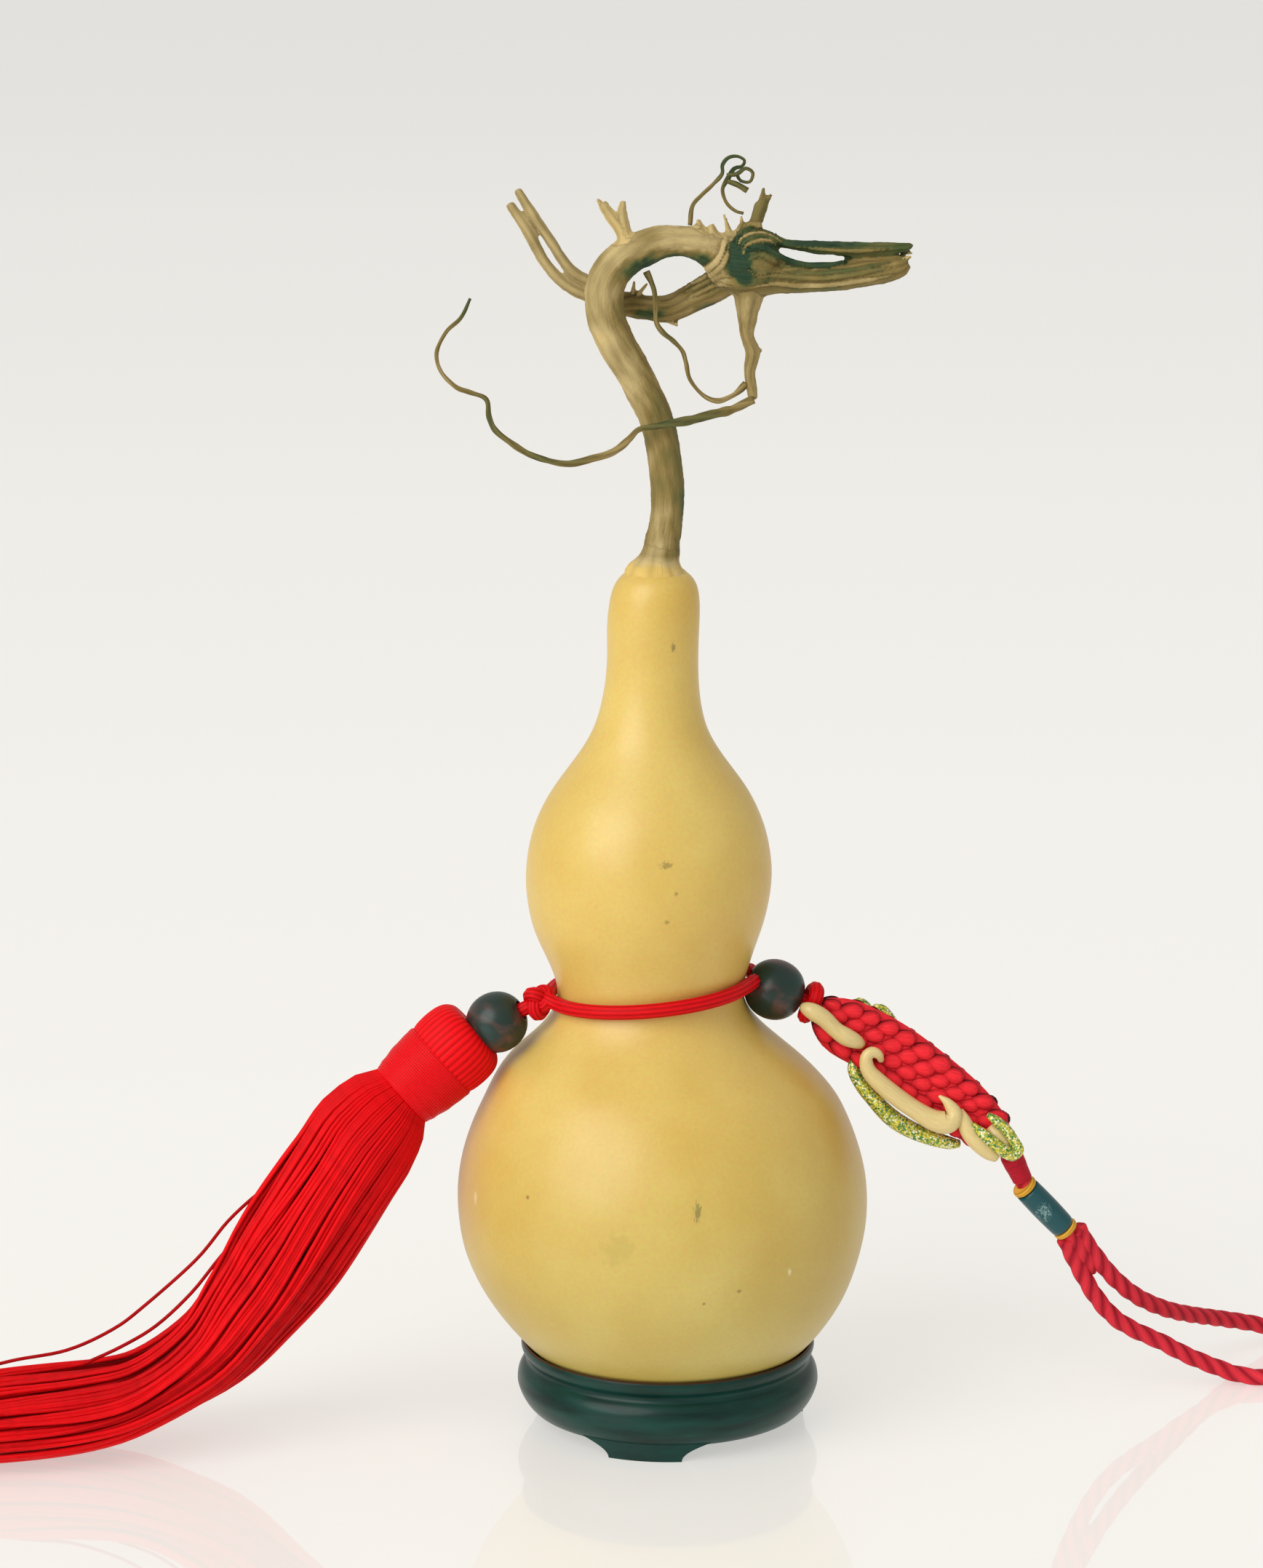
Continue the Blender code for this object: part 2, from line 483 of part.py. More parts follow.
def left_side(bead_material, cord_material, tassel_material):
    """Knot, bead and tassel on the left."""
    ball("waist_knot", WAIST_KNOT, (3.2, 3.0, 4.6), cord_material)
    line = tuple(Vector(TASSEL_TOP) - Vector(WAIST_KNOT))
    knot_reach = 3.9
    reach = Vector(line).length - 1.1
    cord("bead_cord_left", [along(WAIST_KNOT, line, knot_reach), along(LEFT_BEAD, line, 0.0),
                            along(WAIST_KNOT, line, reach)], CORD_DIAMETER, cord_material)
    bead("bead_left", LEFT_BEAD, line, bead_material)
    top = (0.0, CAP_OUTLINE[0][1])
    turned("tassel_cap", [top, *CAP_OUTLINE, (0.0, CAP_OUTLINE[-1][1])], 32, tassel_material,
           TASSEL_TOP, TASSEL_DIRECTION)
    turned("tassel_band", [(0.0, BAND_OUTLINE[0][1]), *BAND_OUTLINE, (0.0, BAND_OUTLINE[-1][1])], 32,
           tassel_material, TASSEL_TOP, TASSEL_DIRECTION)
    limb("tassel_skirt", SKIRT, 8.0, 24, tassel_material)


def right_side(materials):
    """Bead, button knot, woven charm, its binding and the hanging loop on the right."""
    red, crimson, ivory, gold, yellow, teal, bead_material = materials
    knot_at = 8.95
    knot_half = 1.5
    cord("bead_cord_right", [along(RIGHT_BEAD, RIGHT_BORE, -5.8), RIGHT_BEAD,
                             along(RIGHT_BEAD, RIGHT_BORE, knot_at - knot_half - GAP)], CORD_DIAMETER, red)
    bead("bead_right", RIGHT_BEAD, RIGHT_BORE, bead_material)
    button = [(0.0, -knot_half), (2.6, -knot_half), (3.7, -0.6), (3.7, 0.6), (2.6, knot_half), (0.0, knot_half)]
    turned("button_knot", button, 20, red, along(RIGHT_BEAD, RIGHT_BORE, knot_at), RIGHT_BORE)
    limb("woven_panel", PANEL, 4.0, 16, crimson)
    cord("ivory_cord_short", IVORY_SHORT, IVORY_DIAMETER, ivory)
    cord("ivory_cord_long", IVORY_LONG, IVORY_DIAMETER, ivory, spacing=2.4)
    cord("ivory_cord_end", IVORY_END, IVORY_DIAMETER, ivory)
    cord("gold_cord_side", GOLD_SIDE, GOLD_DIAMETER, gold)
    cord("gold_cord_top", GOLD_TOP, GOLD_DIAMETER, gold)
    cord("gold_cord_end", GOLD_END, GOLD_DIAMETER, gold, spacing=2.6)
    bound_end(crimson, yellow, teal)
    cord("hanging_loop", LOOP, ROPE_DIAMETER, crimson, spacing=8.0)


def bound_end(crimson, yellow, teal):
    """The core cord and what is bound round it: whipping, ring, sleeve and ring."""
    first = tuple(Vector(BIND_BEND) - Vector(BIND_TOP))
    second = tuple(Vector(BIND_END) - Vector(BIND_BEND))
    bend_room = 1.0
    core = [CORE_START, BIND_TOP, along(BIND_BEND, first, -bend_room), along(BIND_BEND, second, bend_room),
            along(BIND_BEND, second, 6.0), along(BIND_END, second, 0.6)]
    cord("core_cord", core, 2 * (SLEEVE_BORE - GAP), crimson, resolution=3, spacing=2.0)
    tube("red_whipping", BIND_TOP, first, WHIPPING_LENGTH, SLEEVE_BORE, 3.1, crimson)
    tube("yellow_ring_upper", along(BIND_BEND, second, -0.5), second, RING_LENGTH, SLEEVE_BORE + 0.1,
         RING_RADIUS, yellow)
    sleeve = along(BIND_BEND, second, SLEEVE_START)
    tube("teal_sleeve", sleeve, second, SLEEVE_LENGTH, SLEEVE_BORE, SLEEVE_RADIUS, teal)
    tube("yellow_ring_lower", along(sleeve, second, SLEEVE_LENGTH + GAP), second, RING_LENGTH,
         SLEEVE_BORE, RING_RADIUS, yellow)


def build():
    """Make every piece."""
    clear_scene()
    shell = principled("dried_gourd_shell", "DDBE72", 0.42)
    bark = principled("dried_vine", "8C7A4C", 0.75)
    lacquer = principled("green_black_lacquer", "12332D", 0.25)
    red = principled("red_rayon_cord", "D81A1E", 0.5)
    tassel = principled("red_rayon_thread", "E0121A", 0.45)
    crimson = principled("crimson_braid", "B0202E", 0.55)
    ivory = principled("ivory_satin_cord", "E6D49C", 0.4)
    gold = principled("gold_green_metallic_cord", "B9A83C", 0.35, 0.6)
    yellow = principled("yellow_thread", "D9A030", 0.5)
    teal = principled("teal_sleeve_film", "1F6468", 0.35)
    beads = principled("dark_bead", "26362E", 0.3)
    gourd(shell)
    vine(bark)
    limb("tendril_long", LONG_TENDRIL, 3.0, 8, bark)
    limb("tendril_inner", INNER_TENDRIL, 2.2, 6, bark)
    limb("tendril_curled", CURLED_TENDRIL, 1.6, 6, bark)
    stand(lacquer)
    waist_cord(red)
    left_side(beads, red, tassel)
    right_side((red, crimson, ivory, gold, yellow, teal, beads))


build()
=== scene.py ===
import math
import random

import bpy
from mathutils import Matrix, Vector, bvhtree, kdtree, noise


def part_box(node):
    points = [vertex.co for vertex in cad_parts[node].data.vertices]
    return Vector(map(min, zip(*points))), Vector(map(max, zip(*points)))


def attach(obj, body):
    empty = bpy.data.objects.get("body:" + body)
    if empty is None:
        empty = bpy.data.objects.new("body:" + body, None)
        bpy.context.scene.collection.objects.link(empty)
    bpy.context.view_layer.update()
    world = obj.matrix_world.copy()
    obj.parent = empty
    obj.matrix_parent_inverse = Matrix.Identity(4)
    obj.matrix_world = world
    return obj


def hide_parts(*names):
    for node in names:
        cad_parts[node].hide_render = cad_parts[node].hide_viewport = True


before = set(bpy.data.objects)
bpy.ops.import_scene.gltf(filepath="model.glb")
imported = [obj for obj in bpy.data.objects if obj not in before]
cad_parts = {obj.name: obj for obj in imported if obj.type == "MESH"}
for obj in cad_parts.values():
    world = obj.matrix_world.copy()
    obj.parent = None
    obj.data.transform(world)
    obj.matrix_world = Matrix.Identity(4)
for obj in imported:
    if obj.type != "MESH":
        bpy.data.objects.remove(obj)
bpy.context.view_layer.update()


# ---------------------------------------------------------------- camera
# A long lens a little under a metre away, looking slightly down at the gourd.
# Colours are shown as they are, with no film curve.
MM = 0.001                     # every size below is in millimetres
lens_view = bpy.data.cameras.new("camera")
lens_view.lens = 99.2
lens_view.sensor_width = 36.0
camera = bpy.data.objects.new("camera", lens_view)
camera.location = (-0.010, -0.971, 0.344)
camera.rotation_euler = (math.radians(78.8), 0.0, 0.0)
bpy.context.scene.collection.objects.link(camera)
bpy.context.scene.camera = camera
bpy.context.scene.view_settings.view_transform = "Standard"


# ---------------------------------------------------------------- hanging loop
# A crimson polyester rope of three strands laid together, 3.6 mm thick and about 24 cm long.
# Both ends go up into the bound end of the charm; the loop falls to the floor and lies there.
ROPE_OVER_STRANDS = 4.15       # across the tops of its strands
ROPE_STRANDS = 3
ROPE_LAY = 17.0                # one turn of a strand round the rope
LOOP_ROUTE = [
    (92.1, 6.1, 41.3), (93.9, 8.0, 37.2), (97.0, 10.0, 31.0), (100.6, 11.6, 24.9), (105.0, 13.0, 19.7),
    (110.2, 14.6, 16.0), (116.4, 16.6, 12.6), (122.8, 18.8, 8.6), (129.4, 20.8, 5.2), (136.0, 21.4, 2.7),
    (143.0, 20.4, 2.15), (152.0, 18.8, 2.15), (162.0, 19.0, 2.15), (171.5, 22.4, 2.15), (178.0, 29.0, 2.15),
    (179.6, 37.8, 2.15), (175.0, 46.2, 2.15), (166.4, 51.0, 2.15), (156.5, 52.6, 2.4), (149.0, 51.8, 4.2),
    (142.6, 48.6, 6.6), (134.4, 42.0, 9.9), (126.0, 32.6, 14.0), (119.4, 25.4, 17.6), (113.0, 19.4, 21.8),
    (108.0, 15.4, 26.0), (103.4, 12.4, 31.0), (100.0, 10.0, 35.7), (97.1, 8.2, 40.2), (95.2, 6.5, 43.9),
]


def smooth(points, spacing):
    """Points about spacing apart on a smooth curve through the given ones, whatever values they hold."""
    path = [tuple(map(float, point)) for point in points]
    first = tuple(2 * a - b for a, b in zip(path[0], path[1]))
    last = tuple(2 * a - b for a, b in zip(path[-1], path[-2]))
    held = [first, *path, last]
    route = []
    for i in range(1, len(held) - 2):
        p0, p1, p2, p3 = held[i - 1:i + 3]
        steps = max(1, round(math.dist(p1[:3], p2[:3]) / spacing))
        for step in range(steps):
            t = step / steps
            route.append(tuple(
                0.5 * (2 * b + (c - a) * t + (2 * a - 5 * b + 4 * c - d) * t ** 2
                       + (3 * b - a - 3 * c + d) * t ** 3)
                for a, b, c, d in zip(p0, p1, p2, p3)))
    route.append(path[-1])
    return route


def stations_on(route, upright=False):
    """Centre, up, side and distance at each point of a route; upright keeps the side level with Y."""
    centres = [Vector(station[:3]) for station in route]
    found, up, travelled = [], None, 0.0
    for i, centre in enumerate(centres):
        along = (centres[min(i + 1, len(centres) - 1)] - centres[max(i - 1, 0)]).normalized()
        if upright or up is None:
            level = Vector((0, 1, 0)) if abs(along.y) < 0.9 else Vector((1, 0, 0))
            up = level.cross(along).normalized()
        else:
            up = (up - along * up.dot(along)).normalized()
        if i:
            travelled += (centre - centres[i - 1]).length
        found.append((centre, up, along.cross(up), travelled))
    return found


def close_rings(rings, sides):
    """Faces that join rings of points, and close the ends on two middle points that follow them."""
    faces = []
    for i in range(rings - 1):
        for k in range(sides):
            a, b = i * sides + k, i * sides + (k + 1) % sides
            faces.append((a, b, b + sides, a + sides))
    for middle, i, order in ((rings * sides, 0, 1), (rings * sides + 1, rings - 1, -1)):
        for k in range(sides):
            faces.append((middle, *[i * sides + (k + 1) % sides, i * sides + k][::order]))
    return faces


def skin(route, sides, half=0.0, ribs=0, rib_depth=0.0, lay=0.0, upright=False):
    """A closed skin of rings on a route: points, faces, how each point lies in the cord, and its groove.
    A route's fourth and fifth values are half sizes; ribs turn round the cord once every lay."""
    points, lies, grooves = [], [], []
    stations = stations_on(route, upright)
    for station, (centre, up, side, travelled) in zip(route, stations):
        tall, deep = station[3:5] if len(station) > 3 else (half, half)
        turned = 2 * math.pi * travelled / lay if lay else 0.0
        for k in range(sides):
            angle = 2 * math.pi * k / sides
            groove = 1 - abs(math.cos(ribs * (angle - turned) / 2)) if ribs else 0.0
            swell = 1 - rib_depth * groove
            points.append(centre + up * tall * swell * math.cos(angle)
                          + side * deep * swell * math.sin(angle))
            lies.append((tall * math.cos(angle - turned), deep * math.sin(angle - turned), travelled))
            grooves.append(groove)
    for centre, _, _, travelled in (stations[0], stations[-1]):
        points.append(centre)
        lies.append((0.0, 0.0, travelled))
        grooves.append(0.0)
    return points, close_rings(len(stations), sides), lies, grooves


def make_piece(name, parts):
    """One smooth object made of several skins, with their lie and groove kept as attributes."""
    points, faces, lies, grooves = [], [], [], []
    for part in parts:
        start = len(points)
        points += part[0]
        faces += [tuple(start + corner for corner in face) for face in part[1]]
        lies += part[2]
        grooves += part[3]
    mesh = bpy.data.meshes.new(name)
    mesh.from_pydata([Vector(point) * MM for point in points], [], faces)
    mesh.attributes.new("lie", "FLOAT_VECTOR", "POINT").data.foreach_set(
        "vector", [value for spot in lies for value in spot])
    mesh.attributes.new("groove", "FLOAT", "POINT").data.foreach_set("value", grooves)
    mesh.shade_smooth()
    piece = bpy.data.objects.new(name, mesh)
    bpy.context.scene.collection.objects.link(piece)
    return piece


def settle(piece, material, slot_name, *nodes):
    """Give a piece its finish, ride it on the one body, and let it stand for its plain solids."""
    piece.data.materials.clear()
    piece.data.materials.append(material)
    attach(piece, "root")
    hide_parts(*nodes)


def colour(srgb_hex):
    """An sRGB hex colour as linear red, green, blue and alpha."""
    channels = [int(srgb_hex[i:i + 2], 16) / 255.0 for i in (1, 3, 5)]
    return (*[((c + 0.055) / 1.055) ** 2.4 if c > 0.04045 else c / 12.92 for c in channels], 1.0)


def node(material, kind, inputs=None, stops=None, **settings):
    """Add one node: its settings, a ramp's stops, and each input's value or the output that feeds it."""
    made = material.node_tree.nodes.new(kind)
    for name, value in settings.items():
        setattr(made, name, value)
    for place, (position, shade) in enumerate(stops or []):
        spots = made.color_ramp.elements
        spot = spots[place] if place < 2 else spots.new(position)
        spot.position = position
        spot.color = colour(shade)
    for name, value in (inputs or {}).items():
        if isinstance(value, bpy.types.NodeSocket):
            material.node_tree.links.new(value, made.inputs[name])
        else:
            made.inputs[name].default_value = value
    return made


def finish_for(name, roughness, **sockets):
    """A material and its shader, with the values that are the same all over set on the shader itself."""
    material = bpy.data.materials.new(name)
    material.use_nodes = True
    shader = material.node_tree.nodes["Principled BSDF"]
    shader.inputs["Roughness"].default_value = roughness
    for socket, value in sockets.items():
        shader.inputs[socket.replace("_", " ")].default_value = value
    return material, shader


def feed(material, shader, **outputs):
    """Link outputs to the shader's sockets."""
    for socket, output in outputs.items():
        material.node_tree.links.new(output, shader.inputs[socket.replace("_", " ")])


def thread_finish(name, bright, deep, roughness, fibre, relief, **sockets):
    """Spun thread: fibres run along its lie and make it rough, and its grooves are painted in the deep colour
    as painted shade.
    """
    material, shader = finish_for(name, roughness, **{"Specular_IOR_Level": 0.08, **sockets})
    lie = node(material, "ShaderNodeAttribute", attribute_name="lie")
    drawn = node(material, "ShaderNodeMapping", {"Vector": lie.outputs["Vector"],
                                                 "Scale": (1 / fibre, 1 / fibre, 0.1 / fibre)})
    fibres = node(material, "ShaderNodeTexNoise", {"Vector": drawn.outputs[0], "Scale": 1.0, "Detail": 3.0})
    groove = node(material, "ShaderNodeAttribute", attribute_name="groove")
    shade = node(material, "ShaderNodeMath", {0: fibres.outputs["Fac"], 1: 0.6}, operation="MULTIPLY")
    # painted shade: the groove attribute pulls the colour towards the deep one
    depth = node(material, "ShaderNodeMath", {0: groove.outputs["Fac"], 1: 0.7, 2: shade.outputs[0]},
                 operation="MULTIPLY_ADD")
    tone = node(material, "ShaderNodeValToRGB", {"Fac": depth.outputs[0]},
                stops=[(0.25, bright), (0.95, deep)])
    height = node(material, "ShaderNodeBump", {"Height": fibres.outputs["Fac"], "Strength": 0.6,
                                               "Distance": relief * MM})
    feed(material, shader, Base_Color=tone.outputs["Color"], Normal=height.outputs["Normal"])
    return material


# Laid polyester: soft crimson strands whose fibres catch a little light, with painted shade where they meet.
laid_polyester = thread_finish("laid_crimson_polyester", "#E03542", "#961626", 0.6, 0.3, 0.12)
loop_line = smooth(LOOP_ROUTE, 0.8)
hanging_loop = make_piece("hanging_loop_rope", [
    skin(loop_line, 24, ROPE_OVER_STRANDS / 2, ribs=ROPE_STRANDS, rib_depth=0.16, lay=ROPE_LAY)])
settle(hanging_loop, laid_polyester, "crimson_braid", "hanging_loop")


# ---------------------------------------------------------------- lacquered stand
# Turned from wood and finished in deep green-black lacquer, with a dished top that takes the gourd.
# Its side has a coved rim, a groove and a fat round, and it stands on three low bracket feet.
STAND_X = (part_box("stand")[0][0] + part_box("stand")[1][0]) / 2 / MM
FOOT_HEIGHT = 3.5
FOOT_COUNT = 3
FOOT_FIRST_ANGLE = -100.0
FOOT_OUTER_RADIUS = 32.6
FOOT_INNER_RADIUS = 24.0
FOOT_TOP_WIDTH = 31.0
FOOT_BOTTOM_WIDTH = 17.5
FOOT_BURY = 0.8                # how far a foot goes up into the base
STAND_SIDES = 144
RIM_FROM, RIM_TO = 19.05, 19.4     # the height where the lacquer is rubbed through
STAND_SIDE = [                 # radius and height, up the outside
    (30.9, 3.5), (31.9, 3.8), (32.8, 4.6), (33.6, 5.6), (34.3, 6.8), (34.9, 8.2), (35.3, 9.9),
    (35.0, 12.1), (34.2, 13.6), (33.3, 14.4), (33.0, 15.0), (33.2, 15.8), (33.9, 16.8), (34.3, 17.8),
    (34.4, 18.6), (34.2, 19.2), (33.7, 19.45), (33.2, 19.2),
]
STAND_DISH = [(32.6, 18.6), (27.7, 14.2), (20.7, 10.2), (13.2, 7.5), (6.2, 6.3), (0.5, 5.9)]


def deselect():
    """Leave nothing selected, so that the next operator acts on its own piece only."""
    if bpy.context.object and bpy.context.object.mode != "OBJECT":
        bpy.ops.object.mode_set(mode="OBJECT")
    bpy.ops.object.select_all(action="DESELECT")


def shape_with(piece, kind, **settings):
    """Add a modifier with its settings and apply it."""
    deselect()
    bpy.context.view_layer.objects.active = piece
    piece.select_set(True)
    added = piece.modifiers.new(kind.lower(), kind)
    for name, value in settings.items():
        setattr(added, name, value)
    bpy.ops.object.modifier_apply(modifier=added.name)


def turn_on_lathe(name, outline, sides, at=(0, 0, 0), direction=(0, 0, 1), bored=False):
    """A circle at the outline's first radius and height, extruded and resized to each next one."""
    deselect()
    radius, height = outline[0]
    bpy.ops.mesh.primitive_circle_add(vertices=sides, radius=radius * MM, location=(0, 0, height * MM),
                                      fill_type="NOTHING" if bored else "NGON")
    piece = bpy.context.object
    piece.name = piece.data.name = name
    bpy.ops.object.mode_set(mode="EDIT")
    bpy.ops.mesh.select_all(action="SELECT")
    for (before, low), (after, high) in zip(outline, outline[1:]):
        bpy.ops.mesh.extrude_region_move(TRANSFORM_OT_translate={"value": (0, 0, (high - low) * MM)})
        bpy.ops.transform.resize(value=(after / before, after / before, 1), center_override=(0, 0, 0))
    if bored:
        bpy.ops.mesh.select_all(action="DESELECT")
        bpy.ops.mesh.select_mode(type="EDGE")
        bpy.ops.mesh.select_non_manifold()
        bpy.ops.mesh.bridge_edge_loops()
        bpy.ops.mesh.select_mode(type="VERT")
    bpy.ops.mesh.select_all(action="SELECT")
    bpy.ops.mesh.normals_make_consistent(inside=False)
    bpy.ops.object.mode_set(mode="OBJECT")
    bpy.ops.object.transform_apply(location=True, rotation=True, scale=True)
    swing = Vector((0, 0, 1)).rotation_difference(Vector(direction).normalized()).to_matrix().to_4x4()
    piece.data.transform(Matrix.Translation(Vector(at) * MM) @ swing)
    piece.data.shade_smooth()
    return piece


def bracket_foot(angle):
    """A block cut finely and bent round the base, wide where it meets it and narrow on the floor."""
    deselect()
    bpy.ops.mesh.primitive_cube_add(size=1.0)
    foot = bpy.context.object
    bpy.ops.object.mode_set(mode="EDIT")
    bpy.ops.mesh.subdivide(number_cuts=9)
    bpy.ops.object.mode_set(mode="OBJECT")
    for corner in foot.data.vertices:
        depth, across, rise = corner.co.x + 0.5, 2 * corner.co.y, corner.co.z + 0.5
        width = FOOT_BOTTOM_WIDTH + (FOOT_TOP_WIDTH - FOOT_BOTTOM_WIDTH) * rise ** 2.2
        swing = angle + across * width / 2 / FOOT_OUTER_RADIUS
        radius = FOOT_INNER_RADIUS + (FOOT_OUTER_RADIUS - 0.5 * (1 - rise) - FOOT_INNER_RADIUS) * depth
        corner.co = Vector((STAND_X + radius * math.cos(swing), radius * math.sin(swing),
                            rise * (FOOT_HEIGHT + FOOT_BURY))) * MM
    return foot


side_line = [(radius, height) for radius, _, height in smooth([(r, 0, z) for r, z in STAND_SIDE], 0.45)]
stand = turn_on_lathe("lacquered_stand", [(0.5, FOOT_HEIGHT), (30.0, FOOT_HEIGHT), *side_line, *STAND_DISH],
                      STAND_SIDES, (STAND_X, 0, 0))
for index in range(FOOT_COUNT):
    foot = bracket_foot(math.radians(FOOT_FIRST_ANGLE + 360.0 / FOOT_COUNT * index))
    shape_with(stand, "BOOLEAN", operation="UNION", object=foot, solver="EXACT")
    bpy.data.objects.remove(foot, do_unlink=True)
stand.data.shade_smooth()
stand.data.set_sharp_from_angle(angle=math.radians(40))

# Brushed lacquer over wood: near black, greener where the coat is thin, rubbed brown along the rim.
brushed_lacquer, shader = finish_for("brushed_green_black_lacquer", 0.34, Coat_Weight=0.08,
                                     Coat_Roughness=0.12, Specular_IOR_Level=0.2)
place = node(brushed_lacquer, "ShaderNodeTexCoord")
pulled = node(brushed_lacquer, "ShaderNodeMapping", {"Vector": place.outputs["Object"],
                                                     "Scale": (70, 70, 420)})
strokes = node(brushed_lacquer, "ShaderNodeTexNoise", {"Vector": pulled.outputs[0], "Scale": 1.0,
                                                       "Detail": 4.0})
coat = node(brushed_lacquer, "ShaderNodeValToRGB", {"Fac": strokes.outputs["Fac"]},
            stops=[(0.3, "#04241F"), (0.7, "#0B3D34")])
level = node(brushed_lacquer, "ShaderNodeSeparateXYZ", {0: place.outputs["Object"]})
rim = node(brushed_lacquer, "ShaderNodeMapRange", {"Value": level.outputs["Z"], "From Min": RIM_FROM * MM,
                                                   "From Max": RIM_TO * MM})
rubbed = node(brushed_lacquer, "ShaderNodeMix", {0: rim.outputs[0], 6: coat.outputs["Color"],
                                                 7: colour("#4A2A1E")}, data_type="RGBA")
ripple = node(brushed_lacquer, "ShaderNodeBump", {"Height": strokes.outputs["Fac"], "Strength": 0.3,
                                                  "Distance": 0.15 * MM})
feed(brushed_lacquer, shader, Base_Color=rubbed.outputs[2], Normal=ripple.outputs["Normal"])
settle(stand, brushed_lacquer, "stand_lacquer", "stand")


# ---------------------------------------------------------------- dried gourd
# One grown shell of two bulbs and a neck, dried hard and pale, its skin rubbed to a soft shine.
# It is shaped from its outline, then leans and swells a little unevenly, as a grown thing does.
GOURD_OUTLINE = [              # height and radius
    (6.3, 0.6), (6.6, 6.0), (7.9, 13.0), (10.6, 20.5), (14.6, 27.5), (20.1, 33.8), (27.8, 40.0),
    (36.0, 44.5), (45.0, 47.2), (54.0, 47.9), (62.0, 47.0), (70.0, 44.7), (77.5, 41.3), (84.5, 36.5),
    (89.8, 31.0), (94.0, 26.3), (98.0, 22.9), (102.0, 21.3), (106.5, 21.9), (111.9, 23.9), (118.5, 26.5),
    (124.5, 27.9), (130.5, 28.4), (137.0, 27.8), (143.5, 26.0), (150.0, 22.8), (156.0, 18.5),
    (161.0, 15.0), (166.5, 12.4), (173.5, 10.9), (181.0, 10.4), (190.0, 10.6), (195.5, 10.2),
    (198.5, 9.2), (200.4, 7.6), (201.7, 5.2), (202.0, 0.6),
]
GOURD_LEAN = [                 # height and how far the middle stands to the side
    (0.0, -1.5), (20.1, -1.5), (45.0, -2.7), (75.0, -3.1), (90.0, -5.0), (105.0, -5.7),
    (118.0, -6.3), (135.0, -5.9), (160.0, -5.7), (185.0, -5.1), (203.0, -4.3),
]
SKIN_WANDER = 0.16             # how far the skin strays from round
SEATED_BELOW = 24.0            # it stays true where the stand's dish takes it
GOURD_SIDES = 48


def value_at(pairs, where):
    """Smooth value between (position, value) pairs, held level past the ends."""
    if where <= pairs[0][0]:
        return pairs[0][1]
    for (x0, v0), (x1, v1) in zip(pairs, pairs[1:]):
        if where <= x1:
            t = (where - x0) / (x1 - x0)
            return v0 + (v1 - v0) * (3 * t * t - 2 * t ** 3)
    return pairs[-1][1]


gourd_line = smooth([(radius, 0, height) for height, radius in GOURD_OUTLINE], 4.0)
gourd = turn_on_lathe("gourd_shell", [(radius, height) for radius, _, height in gourd_line],
                      GOURD_SIDES)
shape_with(gourd, "SUBSURF", levels=2, render_levels=2)
for corner in gourd.data.vertices:
    spot = corner.co / MM
    outward = Vector((spot.x, spot.y, 0.0))
    if spot.z > SEATED_BELOW and outward.length > 0.1:
        spot += outward.normalized() * SKIN_WANDER * (noise.noise(spot / 24.0)
                                                      + 0.25 * noise.noise(spot / 7.0))
    spot.x += value_at(GOURD_LEAN, spot.z)
    corner.co = spot * MM

# Dried, scraped and rubbed shell: straw yellow in soft clouds, fine brown flecks, ten scars where it was
# knocked or lay, a painted orange reflection of the red tassel and charm on two cheeks, a little greener low
# down, and a satin shine.
rubbed_shell, shader = finish_for("rubbed_gourd_shell", 0.4, Coat_Weight=0.1, Coat_Roughness=0.25)
place = node(rubbed_shell, "ShaderNodeTexCoord")
clouds = node(rubbed_shell, "ShaderNodeTexNoise", {"Vector": place.outputs["Object"], "Scale": 34.0,
                                                   "Detail": 3.0})
straw = node(rubbed_shell, "ShaderNodeValToRGB", {"Fac": clouds.outputs["Fac"]},
             stops=[(0.3, "#D0AB4E"), (0.7, "#DBBE66")])
grain = node(rubbed_shell, "ShaderNodeTexNoise", {"Vector": place.outputs["Object"], "Scale": 1100.0,
                                                  "Detail": 2.0})
grained = node(rubbed_shell, "ShaderNodeMix", {0: 0.14, 6: straw.outputs["Color"],
                                               7: grain.outputs["Color"]},
               data_type="RGBA", blend_type="OVERLAY")
cells = node(rubbed_shell, "ShaderNodeTexVoronoi", {"Vector": place.outputs["Object"], "Scale": 120.0})
lot = node(rubbed_shell, "ShaderNodeSeparateColor", {0: cells.outputs["Color"]})
drawn_lot = node(rubbed_shell, "ShaderNodeMapRange", {"Value": lot.outputs[0], "From Min": 0.92,
                                                      "From Max": 0.97, "To Max": 0.7})
dot = node(rubbed_shell, "ShaderNodeMapRange", {"Value": cells.outputs["Distance"], "From Min": 0.07,
                                                "From Max": 0.03})
fleck = node(rubbed_shell, "ShaderNodeMath", {0: drawn_lot.outputs[0], 1: dot.outputs[0]},
             operation="MULTIPLY")
worn = node(rubbed_shell, "ShaderNodeMix", {0: fleck.outputs[0], 6: grained.outputs[2],
                                            7: colour("#7A5226")}, data_type="RGBA")
